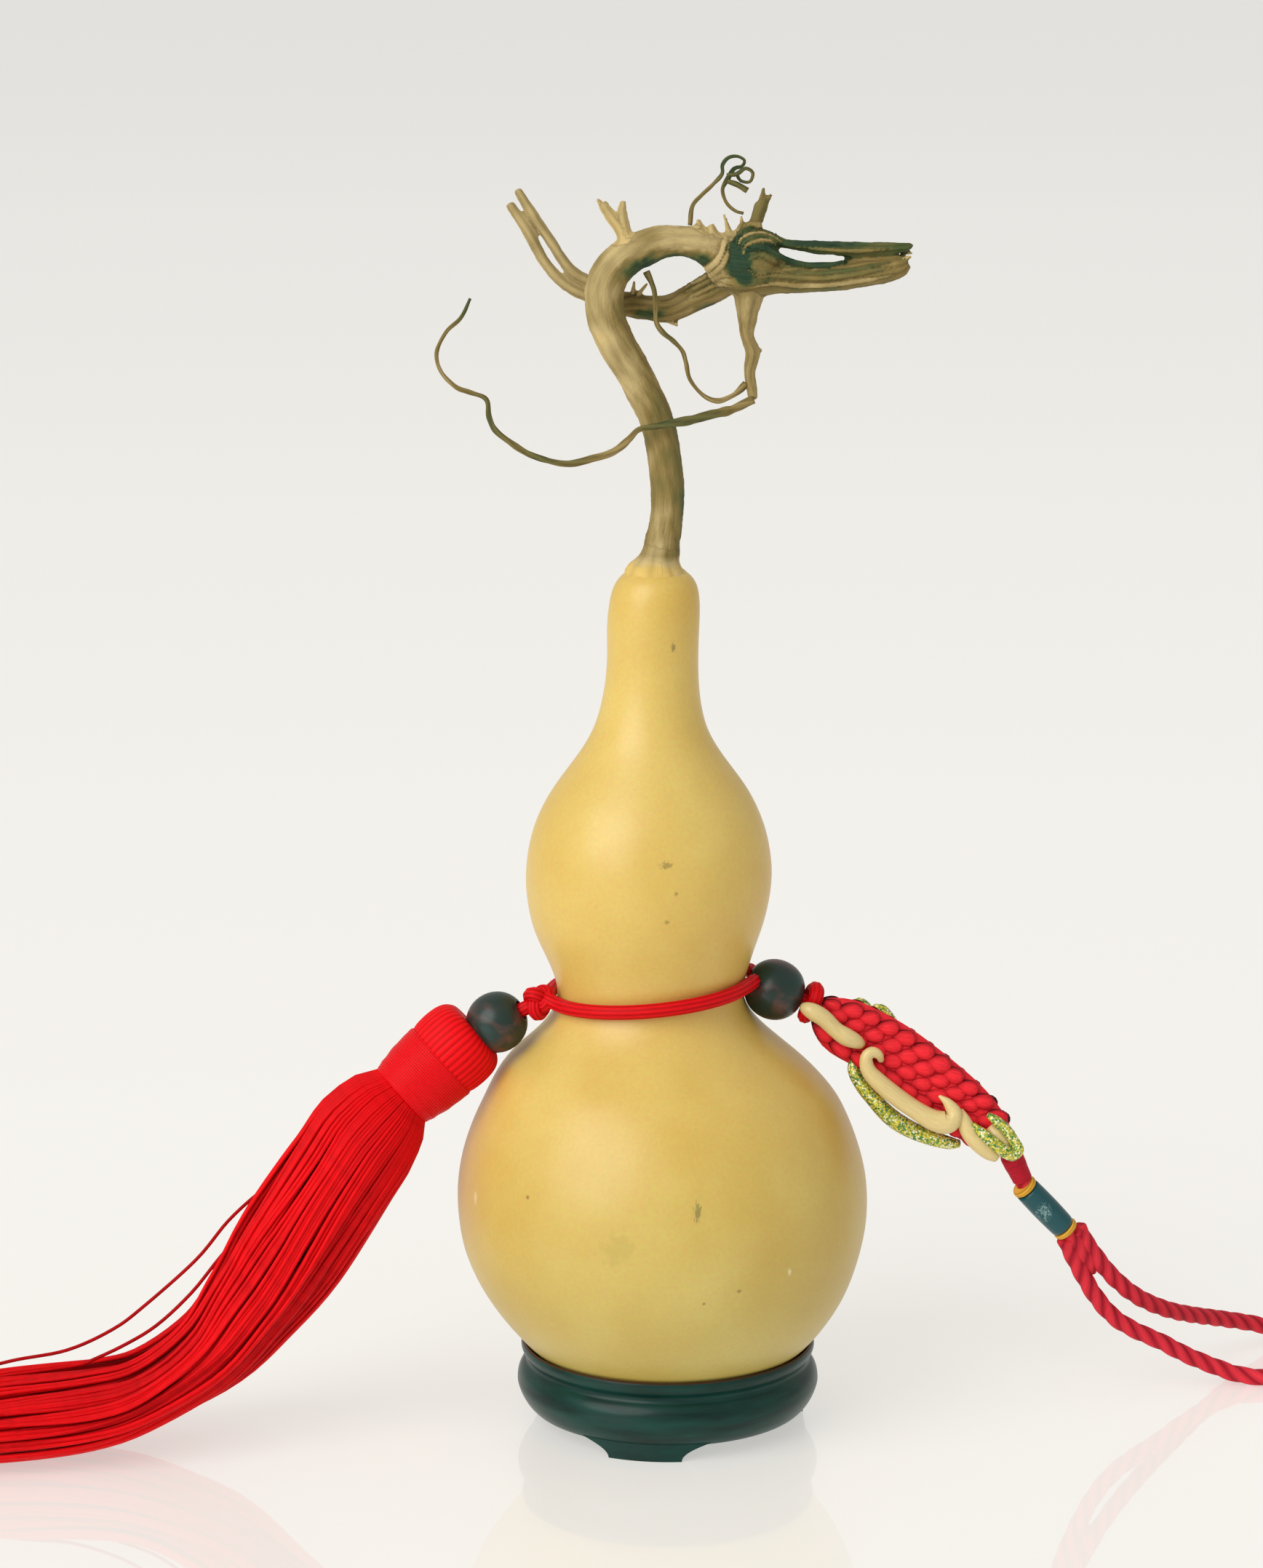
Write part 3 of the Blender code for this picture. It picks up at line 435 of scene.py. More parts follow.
SCARS = [                      # place, size across and up, colour and how strong
    ((4.7, -45.8, 63.7), (1.0, 3.4), "#565A2E", 0.55),
    ((-0.6, -9.5, 185.0), (0.6, 1.4), "#57542A", 0.6),
    ((-2.2, -27.1, 138.5), (1.7, 1.1), "#6A6232", 0.55),
    ((0.0, -27.5, 132.1), (0.6, 0.7), "#6A5C2C", 0.5),
    ((-2.1, -27.6, 125.6), (0.8, 0.7), "#6A5C2C", 0.5),
    ((14.1, -43.9, 44.6), (0.6, 0.6), "#6A5524", 0.6),
    ((6.2, -45.4, 42.2), (0.5, 0.5), "#6A5524", 0.6),
    ((-12.9, -46.5, 55.4), (5.0, 5.4), "#B09C48", 0.26),
    ((-45.7, -19.8, 59.3), (0.5, 2.4), "#FFF0C0", 0.5),
    ((25.6, -37.8, 47.2), (0.5, 1.1), "#FFF0C0", 0.6),
]
SCAR_DEPTH = 6.0               # how far into the shell a scar is looked for
for spot, (across, up), tint, strength in SCARS:
    near = node(rubbed_shell, "ShaderNodeMapping", {
        "Vector": place.outputs["Object"],
        "Location": (-spot[0] / across, -spot[1] / SCAR_DEPTH, -spot[2] / up),
        "Scale": (1 / across / MM, 1 / SCAR_DEPTH / MM, 1 / up / MM)})
    ragged = node(rubbed_shell, "ShaderNodeTexNoise", {"Vector": near.outputs[0], "Scale": 2.6,
                                                       "Detail": 4.0})
    reach = node(rubbed_shell, "ShaderNodeVectorMath", {0: near.outputs[0]}, operation="LENGTH")
    edge = node(rubbed_shell, "ShaderNodeMath", {0: ragged.outputs["Fac"], 1: -2.4,
                                                 2: reach.outputs["Value"]}, operation="MULTIPLY_ADD")
    mask = node(rubbed_shell, "ShaderNodeMapRange", {"Value": edge.outputs[0], "From Min": -0.35,
                                                     "From Max": -0.75, "To Max": strength})
    worn = node(rubbed_shell, "ShaderNodeMix", {0: mask.outputs[0], 6: worn.outputs[2], 7: colour(tint)},
                data_type="RGBA")
# painted reflection: orange from the red tassel on the left cheek and from the red charm on the right
RED_REFLECTION_PATCHES = [                # place and how far it fades
    ((-50.5, -8.0, 62.0), (10.0, 34.0, 19.0)), ((42.0, -8.0, 76.0), (10.0, 34.0, 15.0)),
]
for spot, fade in RED_REFLECTION_PATCHES:
    near = node(rubbed_shell, "ShaderNodeMapping", {
        "Vector": place.outputs["Object"], "Location": [-at / size for at, size in zip(spot, fade)],
        "Scale": [1 / size / MM for size in fade]})
    reach = node(rubbed_shell, "ShaderNodeVectorMath", {0: near.outputs[0]}, operation="LENGTH")
    mask = node(rubbed_shell, "ShaderNodeMapRange", {"Value": reach.outputs["Value"], "From Min": 1.1,
                                                     "From Max": 0.0, "To Max": 0.55})
    worn = node(rubbed_shell, "ShaderNodeMix", {0: mask.outputs[0], 6: worn.outputs[2],
                                                7: colour("#C27F30")}, data_type="RGBA")
level = node(rubbed_shell, "ShaderNodeSeparateXYZ", {0: place.outputs["Object"]})
GREENER_FROM, GREENER_TO = 85.0, 35.0
low = node(rubbed_shell, "ShaderNodeMapRange", {"Value": level.outputs["Z"], "From Min": GREENER_FROM * MM,
                                                "From Max": GREENER_TO * MM, "To Max": 0.85})
worn = node(rubbed_shell, "ShaderNodeMix", {0: low.outputs[0], 6: worn.outputs[2], 7: colour("#E2ECEC")},
            data_type="RGBA", blend_type="MULTIPLY")
pores = node(rubbed_shell, "ShaderNodeBump", {"Height": grain.outputs["Fac"], "Strength": 0.12,
                                              "Distance": 0.1 * MM})
feed(rubbed_shell, shader, Base_Color=worn.outputs[2], Normal=pores.outputs["Normal"])
settle(gourd, rubbed_shell, "gourd_shell", "gourd_fruit")


# ---------------------------------------------------------------- dry vine stem
# The stalk that the gourd hung by, dried hard: a ridged arch, a swollen node split into two long prongs,
# a branch behind, and the stubs of broken twigs. It is one grown piece with the fruit's crown.
STEM = [                       # x, y, z, half height and half depth along each limb
    (-4.3, 0, 199.4, 7.4, 7.4), (-4.2, 0, 200.6, 7.4, 7.4), (-4.1, 0, 201.7, 6.7, 6.7),
    (-3.9, 0, 202.7, 5.5, 5.5), (-3.6, 0, 204.2, 4.6, 4.6), (-2.9, 0, 208.0, 4.1, 4.1),
    (-2.0, 0, 214.0, 3.8, 3.9), (-1.9, 0, 220.0, 3.9, 3.9), (-2.3, 0, 225.0, 3.9, 3.9),
    (-3.3, 0, 231.0, 3.9, 3.9), (-4.6, 0, 236.0, 3.9, 3.9), (-6.9, 0, 241.0, 4.0, 4.0),
    (-10.0, 0, 247.0, 4.1, 4.1), (-13.3, 0, 252.5, 4.3, 4.2), (-15.4, 0, 257.6, 4.4, 4.3),
    (-16.2, 0, 262.7, 4.5, 4.3), (-15.3, 0, 267.0, 4.5, 4.3), (-12.4, 0, 270.9, 4.4, 4.2),
    (-8.0, 0, 273.5, 4.2, 4.0), (-3.5, 0, 275.2, 3.9, 3.8), (1.5, 0, 275.4, 3.4, 3.6),
    (6.0, 0, 274.2, 3.7, 4.0), (9.0, 0, 272.9, 4.9, 4.8), (12.0, 0, 271.4, 6.9, 6.0),
    (15.6, 0, 270.8, 8.1, 6.6), (19.0, 0, 270.5, 7.3, 6.0), (21.2, 0, 270.1, 5.5, 4.8),
    (22.2, 0, 269.8, 3.2, 3.0),
]
UPPER_PRONG = [
    (17.0, 0, 275.6, 2.2, 3.2), (22.1, 0, 275.6, 1.4, 3.0), (24.3, 0, 274.9, 1.0, 2.8),
    (27.6, 0, 274.5, 1.2, 2.8), (30.9, 0, 274.1, 1.5, 2.8), (34.2, 0, 273.9, 1.6, 2.9),
    (38.6, 0, 273.7, 1.7, 2.9), (41.9, 0, 273.7, 1.6, 2.8), (46.8, 0, 273.9, 1.4, 2.5),
    (51.8, 0, 274.2, 1.0, 1.8), (53.0, 0, 274.6, 0.5, 1.2),
]
LOWER_PRONG = [
    (16.5, 0, 267.0, 4.4, 4.8), (22.1, 0, 267.6, 4.0, 4.4), (24.8, 0, 267.4, 3.7, 4.3),
    (28.7, 0, 267.2, 3.3, 4.1), (34.2, 0, 267.3, 3.1, 3.9), (38.6, 0, 268.0, 3.4, 3.8),
    (41.9, 0, 268.6, 3.5, 3.5), (46.9, 0, 269.2, 3.1, 3.0), (50.7, 0, 270.1, 2.4, 2.4),
    (51.9, 0, 270.8, 1.5, 1.7),
]
BACK_BRANCH = [
    (-16.5, 2.0, 262.4, 2.6, 2.4), (-14.0, 6.0, 261.3, 2.8, 2.6), (-11.0, 8.0, 260.7, 2.9, 2.7),
    (-6.7, 8.0, 260.0, 2.9, 2.7), (-1.8, 8.0, 259.7, 3.2, 2.9), (3.0, 7.6, 261.8, 3.4, 3.0),
    (7.7, 6.0, 264.4, 3.7, 3.2), (11.7, 3.2, 267.0, 3.8, 3.4), (14.5, 1.0, 268.8, 3.5, 3.2),
]
UPPER_TAIL = [
    (-14.0, 6.0, 262.6, 1.7, 1.6), (-19.7, 8.0, 265.9, 1.4, 1.5), (-24.1, 8.4, 268.7, 1.3, 1.4),
    (-28.8, 8.6, 275.7, 1.2, 1.3), (-31.9, 8.6, 280.2, 1.3, 1.2), (-35.8, 8.6, 286.4, 1.0, 0.9),
]
LOWER_TAIL = [
    (-13.0, 7.6, 260.9, 1.8, 1.6), (-20.5, 8.0, 262.8, 1.5, 1.5), (-25.6, 8.0, 265.7, 1.4, 1.4),
    (-29.9, 8.0, 270.6, 1.3, 1.3), (-33.4, 8.0, 277.2, 1.4, 1.2), (-37.6, 8.0, 283.4, 1.0, 0.9),
]
UNDER_TWIG = [
    (16.5, 0, 266.0, 4.4, 3.8), (16.3, 0, 262.4, 3.3, 3.0), (16.1, 0, 259.0, 2.5, 2.4),
    (16.0, 0, 254.4, 1.6, 1.6), (17.3, 0, 250.6, 1.8, 1.8), (16.6, 0, 246.4, 1.4, 1.4),
    (17.2, 0, 242.2, 1.3, 1.3), (17.3, -1.0, 240.2, 1.2, 1.2),
]
SLOT_RIDGE = [
    (19.8, -3.2, 274.0, 0.9, 1.1), (22.0, -3.4, 272.8, 0.9, 1.2), (24.8, -3.0, 271.4, 0.8, 1.2),
    (28.7, -2.6, 270.4, 0.7, 1.2), (34.2, -2.2, 270.3, 0.7, 1.2), (37.5, -1.8, 270.9, 0.6, 1.0),
]
FORK_LEFT = [
    (-10.8, 0, 272.4, 2.0, 1.5), (-11.9, 0, 277.1, 1.6, 1.2), (-14.3, 0, 280.5, 1.4, 0.9),
    (-16.3, 0, 283.3, 1.3, 0.8),
]
FORK_RIGHT = [
    (-10.6, 0, 273.0, 1.9, 1.3), (-11.6, 0, 277.9, 1.6, 1.0), (-12.1, 0, 281.9, 1.2, 0.8),
    (-11.8, 0, 284.5, 0.7, 0.5),
]
STUBS = [                      # foot, tip, and the half thickness at each: torn tips, thorns and bits of bark
    ((-16.2, 0, 283.0), (-17.8, 0, 284.9), 0.8, 0.5), ((-15.8, 0, 282.6), (-15.6, 0, 284.4), 0.7, 0.4),
    ((6.4, 0, 276.0), (4.8, 0, 280.4), 1.1, 0.6), ((9.4, 0, 275.4), (7.6, 0, 279.2), 1.2, 0.8),
    ((12.2, 0, 276.0), (10.6, 0, 281.6), 1.0, 0.3), ((14.4, 0, 276.0), (14.6, 0, 281.3), 0.9, 0.4),
    ((1.0, -0.6, 278.2), (5.0, -0.6, 278.6), 0.7, 0.5), ((50.0, -1.0, 271.0), (52.6, -1.0, 272.2), 0.9, 0.5),
    ((50.5, 1.0, 273.2), (53.0, 1.0, 272.6), 0.7, 0.4), ((-8.9, 7.0, 262.5), (-6.4, 6.4, 265.6), 0.7, 0.4),
    ((-9.8, 7.0, 262.5), (-9.4, 6.4, 266.2), 0.7, 0.4), ((-2.2, 7.6, 257.6), (0.6, 7.0, 255.9), 1.0, 0.4),
    ((16.9, 0, 251.2), (19.4, 0, 251.0), 1.0, 0.5),
]
CREST = [                      # the flat green prong on the crown of the node, with its forked tip
    ((16.6, 0, 276.0), (19.0, 0, 283.6), 1.5, 1.6), ((18.8, 0, 283.0), (19.5, 0, 287.6), 1.1, 0.4),
    ((19.0, 0, 283.0), (21.4, 0, 286.0), 1.1, 0.4),
]
VOXEL = 0.42                   # the joined stem is rebuilt at this size, fine enough for its ridges
LIMBS = [                      # route, ridges round it, their depth, how far they wind, and how green
    (STEM, 9, 0.5, 150.0, 0.2), (UPPER_PRONG, 8, 0.45, 0.0, 0.78), (LOWER_PRONG, 9, 0.4, 0.0, 0.56),
    (BACK_BRANCH, 9, 0.6, 0.0, 0.52), (UPPER_TAIL, 4, 0.25, 0.0, 0.3), (LOWER_TAIL, 4, 0.25, 0.0, 0.28),
    (UNDER_TWIG, 5, 0.4, 0.0, 0.42), (SLOT_RIDGE, 3, 0.1, 0.0, 0.95), (FORK_LEFT, 4, 0.15, 0.0, 0.1),
    (FORK_RIGHT, 4, 0.15, 0.0, 0.14),
]
STUB_GREEN = 0.12
CREST_GREEN = 0.6
for stubs, green in ((STUBS, STUB_GREEN), (CREST, CREST_GREEN)):
    for foot, tip, foot_half, tip_half in stubs:
        middle = tuple((a + b) / 2 for a, b in zip(foot, tip))
        middle_half = (foot_half + tip_half) / 2
        LIMBS.append(([(*foot, foot_half, foot_half), (*middle, middle_half, middle_half),
                       (*tip, tip_half, tip_half)], 3, 0.2, 0.0, green))
HEAD_FROM = 10.5               # past this x the stem is the swollen node
FOOT_SMOOTH_BELOW = 205.0      # the ridges fade out over the last few millimetres to the crown
FOOT_FADE = 3.0
DULLER_BELOW = 246.0           # the straight lower stem is greener
DULLER_FADE = 24.0
STRANDS = [                    # raised strands: how green, half thickness, and x and z along them
    (0.5, 0.7, [(12.4, 276.3), (12.9, 277.7), (14.4, 278.7), (17.1, 279.1), (19.8, 278.5), (22.6, 276.9)]),
    (0.85, 0.5, [(13.2, 275.2), (13.6, 276.9), (15.1, 278.1), (18.2, 278.4), (21.2, 277.4), (24.0, 275.8)]),
    (0.34, 0.42, [(13.9, 274.2), (14.1, 275.9), (15.7, 277.1), (18.2, 277.5), (20.9, 276.9), (23.4, 275.7)]),
    (0.8, 0.45, [(14.4, 273.9), (14.9, 275.4), (16.5, 276.3), (19.0, 276.8), (21.5, 276.2), (23.7, 275.1)]),
    (0.38, 0.42, [(15.0, 273.1), (15.4, 274.7), (17.1, 275.6), (19.3, 276.0), (21.2, 275.5), (22.6, 274.7)]),
    (0.98, 0.8, [(15.4, 273.7), (17.6, 274.4), (19.8, 274.0), (22.0, 272.8), (24.8, 271.5)]),
    (0.7, 0.6, [(16.0, 271.9), (19.0, 272.8), (21.2, 271.7), (23.7, 270.4), (27.6, 269.6), (30.9, 269.3)]),
    (0.2, 0.8, [(11.7, 277.8), (10.9, 276.1), (10.5, 273.9), (9.1, 271.3), (6.7, 269.2), (3.6, 266.9)]),
    (0.35, 0.6, [(11.6, 274.8), (11.0, 272.0), (9.4, 269.6), (6.2, 267.0), (2.4, 264.9)]),
    (0.5, 0.5, [(12.7, 267.6), (10.5, 268.1), (8.3, 267.1), (5.6, 265.4), (1.7, 263.5)]),
    (0.45, 0.5, [(12.4, 265.6), (9.6, 265.9), (6.4, 264.2), (2.6, 262.3)]),
    (0.62, 0.5, [(16.2, 269.6), (18.2, 267.9), (22.1, 268.1), (27.6, 267.6), (33.1, 267.5), (38.6, 268.1),
                 (44.1, 269.2), (49.6, 270.0)]),
    (0.75, 0.45, [(24.0, 268.9), (30.9, 268.6), (35.3, 268.9), (39.7, 269.4), (44.1, 270.3), (47.9, 271.0)]),
    (0.4, 0.55, [(16.6, 265.4), (22.1, 266.2), (28.7, 265.7), (35.3, 266.0), (41.9, 266.9), (48.5, 268.0)]),
    (0.62, 0.45, [(27.0, 274.3), (32.0, 273.9), (37.0, 273.5), (42.0, 273.5), (47.0, 273.8)]),
]
GREEN_AND_SHADE_PATCHES = [                   # x, z and reach of each darker green patch, and how much greener it is; those on the head are its own green, those under the arch, the back branch and the lower prong are painted shade
    ((13.5, 272.0), (2.8, 4.8), 0.95), ((15.6, 268.6), (2.4, 2.4), 0.45), ((1.0, 270.8), (9.0, 2.9), 0.5),
    ((-6.0, 258.6), (4.0, 1.4), 0.35), ((5.6, 265.4), (4.0, 1.8), 0.25), ((-8.5, 269.0), (4.5, 3.0), 0.35),
    ((32.0, 265.4), (8.0, 1.6), 0.15), ((30.0, 275.0), (12.0, 0.9), 0.25), ((8.0, 259.6), (4.0, 1.6), 0.3),
]

base_skins = [skin(smooth(route, 1.2), 16, upright=True) for route, *_ in LIMBS]
base_points, base_faces = [], []
for points, faces, _, _ in base_skins:
    base_faces += [tuple(len(base_points) + corner for corner in face) for face in faces]
    base_points += points
surface = bvhtree.BVHTree.FromPolygons(base_points, base_faces)
strand_skins, strand_points, strand_facts = [], [], []
for green, half, spots in STRANDS:
    line = smooth([(x, 0, z) for x, z in spots], 0.6)
    for face_side in (-1, 1):
        laid = []
        for i, (x, _, z) in enumerate(line):
            hit = surface.ray_cast(Vector((x, 30 * face_side, z)), Vector((0, -face_side, 0)))[0]
            if hit:
                thin = half * min(1.0, 0.35 + 3.0 * min(i, len(line) - 1 - i) / len(line))
                laid.append((x, hit.y, z, thin, thin))
        strand_skins.append(skin(laid, 8))
        strand_points += [Vector(station[:3]) for station in laid]
        strand_facts += [(station[3], green) for station in laid]

vine = make_piece("vine_stem_ridged", base_skins + strand_skins)
shape_with(vine, "REMESH", mode="VOXEL", voxel_size=VOXEL * MM)
shape_with(vine, "SMOOTH", factor=0.5, iterations=4)

line_points, line_facts = [], []
for number, (route, *_) in enumerate(LIMBS):
    dense = smooth(route, 0.8)
    for station, (centre, up, side, travelled) in zip(dense, stations_on(dense, upright=True)):
        line_points.append(centre)
        line_facts.append((number, up, side, travelled, (station[3] + station[4]) / 2))


def finder_for(points):
    """A finder of the nearest of these points."""
    finder = kdtree.KDTree(len(points))
    for index, point in enumerate(points):
        finder.insert(point, index)
    finder.balance()
    return finder


line_finder = finder_for(line_points)
strand_finder = finder_for(strand_points)

lies, grooves, greens, moved = [], [], [], []
for corner in vine.data.vertices:
    spot = corner.co / MM
    near = min(line_finder.find_n(spot, 14), key=lambda hit: hit[2] / line_facts[hit[1]][4])
    number, up, side, travelled, half = line_facts[near[1]]
    _, ribs, depth, lay, green = LIMBS[number]
    out = spot - line_points[near[1]]
    wander = noise.noise(Vector((number * 9.0, travelled / 9.0, 0.0)))
    angle = math.atan2(out.dot(side), out.dot(up))
    phase = ribs * (angle + 0.35 * wander) / 2 + (math.pi * ribs * travelled / lay if lay else 0.0)
    ridge_strength = noise.noise(Vector((round(phase / math.pi), travelled / 7.0, number)))
    groove = (1 - abs(math.cos(phase))) * (0.65 + 0.5 * ridge_strength)
    if number == 0:
        swollen = max(0.0, min(1.0, (spot.x - HEAD_FROM) / 3.0))
        inner_side_shade = up.dot(out.normalized()) if out.length > 0 else 0.0
        foot = max(0.0, min(1.0, (FOOT_SMOOTH_BELOW - spot.z) / FOOT_FADE))
        lower = max(0.0, min(1.0, (DULLER_BELOW - spot.z) / DULLER_FADE))
        # painted shade: the inner side, under the arch and right of the lower stem, is painted greener and
        # darker
        green += (1 - swollen) * (0.13 + 0.2 * max(0.0, inner_side_shade) + 0.17 * lower
                                  + 0.26 * noise.noise(spot / 6.5) - 0.75 * foot)
        green += swollen * (0.42 + 0.3 * noise.noise(spot / 5.0))
        groove *= 0.55 - 0.15 * swollen
        depth *= 1 - foot
    for (x, z), (reach_x, reach_z), added in GREEN_AND_SHADE_PATCHES:
        far = math.hypot((spot.x - x) / reach_x, (spot.z - z) / reach_z) + 0.3 * noise.noise(spot / 1.5)
        green += added * max(0.0, min(1.0, 1.7 - 1.4 * far))
    _, index, gap = strand_finder.find(spot)
    strand_half, strand_green = strand_facts[index]
    cover = max(0.0, min(1.0, 2.4 - 1.4 * gap / strand_half))
    crease = max(0.0, 1 - abs(gap / strand_half - 1.5) / 0.5)
    # painted shade: a dark crease is painted where each raised strand meets the surface
    green += (strand_green - green) * cover
    groove = max(groove * (1 - cover), 0.9 * crease)
    green += 0.12 * noise.noise(spot / 4.0)
    rough = 0.10 * noise.noise(spot / 0.9) + 0.16 * noise.noise(spot / 3.0)
    limit = min(depth, half * 0.3)
    moved.append((spot - corner.normal * (limit * groove - rough * min(1.0, half / 2))) * MM)
    lies.append((half * math.cos(angle), half * math.sin(angle), travelled + 40.0 * number))
    grooves.append(max(0.0, min(1.0, groove)))
    greens.append(max(-0.4, min(1.0, green)))
for corner, place in zip(vine.data.vertices, moved):
    corner.co = place
for name, kind, field, values in (("lie", "FLOAT_VECTOR", "vector", [v for lie in lies for v in lie]),
                                  ("groove", "FLOAT", "value", grooves), ("green", "FLOAT", "value", greens)):
    vine.data.attributes.new(name, kind, "POINT").data.foreach_set(field, values)
vine.data.shade_smooth()

# Dried stalk: pale tan and fibrous on its ridges and green in patches, with painted shade in brown along its
# furrows and strand edges and in dark green under it.
dried_stalk, shader = finish_for("dried_vine_stalk", 0.72, Specular_IOR_Level=0.3)
lie = node(dried_stalk, "ShaderNodeAttribute", attribute_name="lie")
drawn = node(dried_stalk, "ShaderNodeMapping", {"Vector": lie.outputs["Vector"], "Scale": (2.2, 2.2, 0.22)})
fibres = node(dried_stalk, "ShaderNodeTexNoise", {"Vector": drawn.outputs[0], "Scale": 1.0, "Detail": 5.0,
                                                  "Roughness": 0.65})
green = node(dried_stalk, "ShaderNodeAttribute", attribute_name="green")
streaked = node(dried_stalk, "ShaderNodeMath", {0: fibres.outputs["Fac"], 1: 0.34, 2: green.outputs["Fac"]},
                operation="MULTIPLY_ADD")
evened = node(dried_stalk, "ShaderNodeMath", {0: streaked.outputs[0], 1: 0.7}, operation="MULTIPLY")
bark = node(dried_stalk, "ShaderNodeValToRGB", {"Fac": evened.outputs[0]},
            stops=[(0.02, "#DDBC68"), (0.86, "#0C3526"), (0.12, "#D2B878"), (0.3, "#BBA672"),
                   (0.48, "#8A7640"), (0.7, "#46562C")])
groove = node(dried_stalk, "ShaderNodeAttribute", attribute_name="groove")
# painted shade: the groove attribute darkens the furrows and strand edges towards brown
furrow_shade = node(dried_stalk, "ShaderNodeMath", {0: groove.outputs["Fac"], 1: 0.6}, operation="MULTIPLY")
furrowed = node(dried_stalk, "ShaderNodeMix", {0: furrow_shade.outputs[0], 6: bark.outputs["Color"],
                                               7: colour("#6E6038")}, data_type="RGBA", blend_type="MULTIPLY")
rasp = node(dried_stalk, "ShaderNodeBump", {"Height": fibres.outputs["Fac"], "Strength": 0.8,
                                            "Distance": 0.3 * MM})
feed(dried_stalk, shader, Base_Color=furrowed.outputs[2], Normal=rasp.outputs["Normal"])
settle(vine, dried_stalk, "dry_vine", "vine_stem")


# ---------------------------------------------------------------- vine tendrils
# Three dried tendrils, thin as wire: a long one that winds out to the left, one that hangs inside the
# arch, and one curled up on top. Each is a flattened, uneven strand grown from the stalk.
TENDRILS = {                   # x, y, z, half height and half depth
    "tendril_long": [
        (17.3, -1.2, 240.0, 1.2, 1.0), (11.5, -3.4, 237.8, 1.1, 0.8), (4.8, -5.4, 236.4, 1.1, 0.7),
        (0.0, -6.2, 235.4, 1.0, 0.7), (-4.2, -6.3, 234.7, 0.8, 0.6), (-8.3, -6.0, 233.9, 0.7, 0.6),
        (-10.4, -5.5, 231.7, 0.8, 0.6), (-13.3, -5.0, 229.3, 0.9, 0.6), (-17.5, -5.0, 227.5, 0.9, 0.6),
        (-25.2, -5.0, 226.1, 0.8, 0.6), (-32.8, -5.0, 228.2, 0.8, 0.6), (-39.6, -4.5, 232.6, 0.7, 0.6),
        (-41.9, -4.0, 236.3, 0.7, 0.5), (-42.6, -4.0, 240.4, 0.6, 0.5), (-46.0, -4.0, 242.0, 0.6, 0.5),
        (-49.4, -4.0, 243.2, 0.6, 0.5), (-52.6, -4.0, 246.6, 0.5, 0.5), (-53.6, -4.0, 251.0, 0.5, 0.5),
        (-51.5, -4.0, 255.4, 0.5, 0.5), (-48.2, -4.0, 258.6, 0.5, 0.4), (-46.0, -4.0, 263.0, 0.4, 0.4),
    ],
    "tendril_inner": [
        (-6.6, 0.0, 268.7, 0.9, 0.7), (-5.1, 0.2, 264.9, 0.6, 0.5), (-4.6, 0.5, 260.9, 0.6, 0.5),
        (-4.4, 0.4, 257.3, 0.6, 0.5), (-2.9, 0.0, 254.9, 0.7, 0.5), (-0.8, 0.0, 253.3, 0.6, 0.5),
        (1.4, 0.0, 251.0, 0.5, 0.5), (2.2, 0.0, 248.4, 0.6, 0.5), (3.1, 0.0, 244.6, 0.5, 0.5),
        (6.2, 0.0, 240.9, 0.5, 0.5), (9.3, 0.0, 239.6, 0.7, 0.6), (12.2, 0.0, 240.6, 0.6, 0.5),
        (14.2, 0.0, 242.0, 0.9, 0.8), (15.8, 0.0, 243.6, 0.9, 0.8),
    ],
    "tendril_curled": [
        (3.0, 0.0, 279.0, 0.6, 0.5), (3.6, 0.0, 283.1, 0.5, 0.4), (5.6, 0.0, 285.6, 0.5, 0.4),
        (8.2, 0.0, 288.1, 0.5, 0.4), (10.2, -0.2, 290.3, 0.5, 0.5), (10.3, -0.5, 292.4, 0.5, 0.4),
        (11.6, -0.6, 294.0, 0.5, 0.4), (13.6, -0.6, 294.3, 0.4, 0.4), (15.2, -0.2, 293.3, 0.4, 0.4),
        (14.6, 0.4, 292.0, 0.4, 0.4), (12.9, 0.9, 291.4, 0.5, 0.5), (11.5, 1.2, 289.2, 0.6, 0.6),
        (10.3, 1.2, 286.9, 0.5, 0.4), (11.1, 0.9, 284.1, 0.5, 0.4), (13.1, 0.5, 282.2, 0.5, 0.4),
        (15.0, 0.2, 281.6, 0.4, 0.4),
    ],
}
SMALL_CURL = [                 # the second turn of the curl, and the stub beside it
    (11.2, -1.2, 290.2, 0.5, 0.5), (13.4, -1.4, 290.4, 0.5, 0.5), (15.4, -1.2, 291.6, 0.4, 0.4),
    (17.0, -0.6, 290.6, 0.4, 0.4), (16.4, 0.2, 288.6, 0.4, 0.4), (14.4, 0.4, 288.8, 0.4, 0.4),
    (13.6, 0.2, 290.0, 0.4, 0.4),
]
CURL_STUB = [(11.4, -0.4, 288.8, 0.6, 0.5), (13.6, -0.4, 288.0, 0.7, 0.6), (15.8, -0.4, 286.6, 0.7, 0.6)]


def strand(points, seed):
    """One uneven strand along a route."""
    line = []
    for x, y, z, tall, deep in smooth(points, 0.6):
        swell = 1 + 0.22 * noise.noise(Vector((x / 2.5, z / 2.5, seed)))
        line.append((x, y, z, tall * swell, deep * swell))
    return skin(line, 10, ribs=3, rib_depth=0.22, lay=30.0)


for name, points in TENDRILS.items():
    strands = [strand(points, len(name))]
    if name == "tendril_curled":
        strands += [strand(SMALL_CURL, 3.0), strand(CURL_STUB, 5.0)]
    tendril = make_piece(name + "_dried", strands)
    shade = [0.58 + 0.4 * noise.noise(corner.co / MM / 9.0) for corner in tendril.data.vertices]
    tendril.data.attributes.new("green", "FLOAT", "POINT").data.foreach_set("value", shade)
    settle(tendril, dried_stalk, "dry_vine", name)


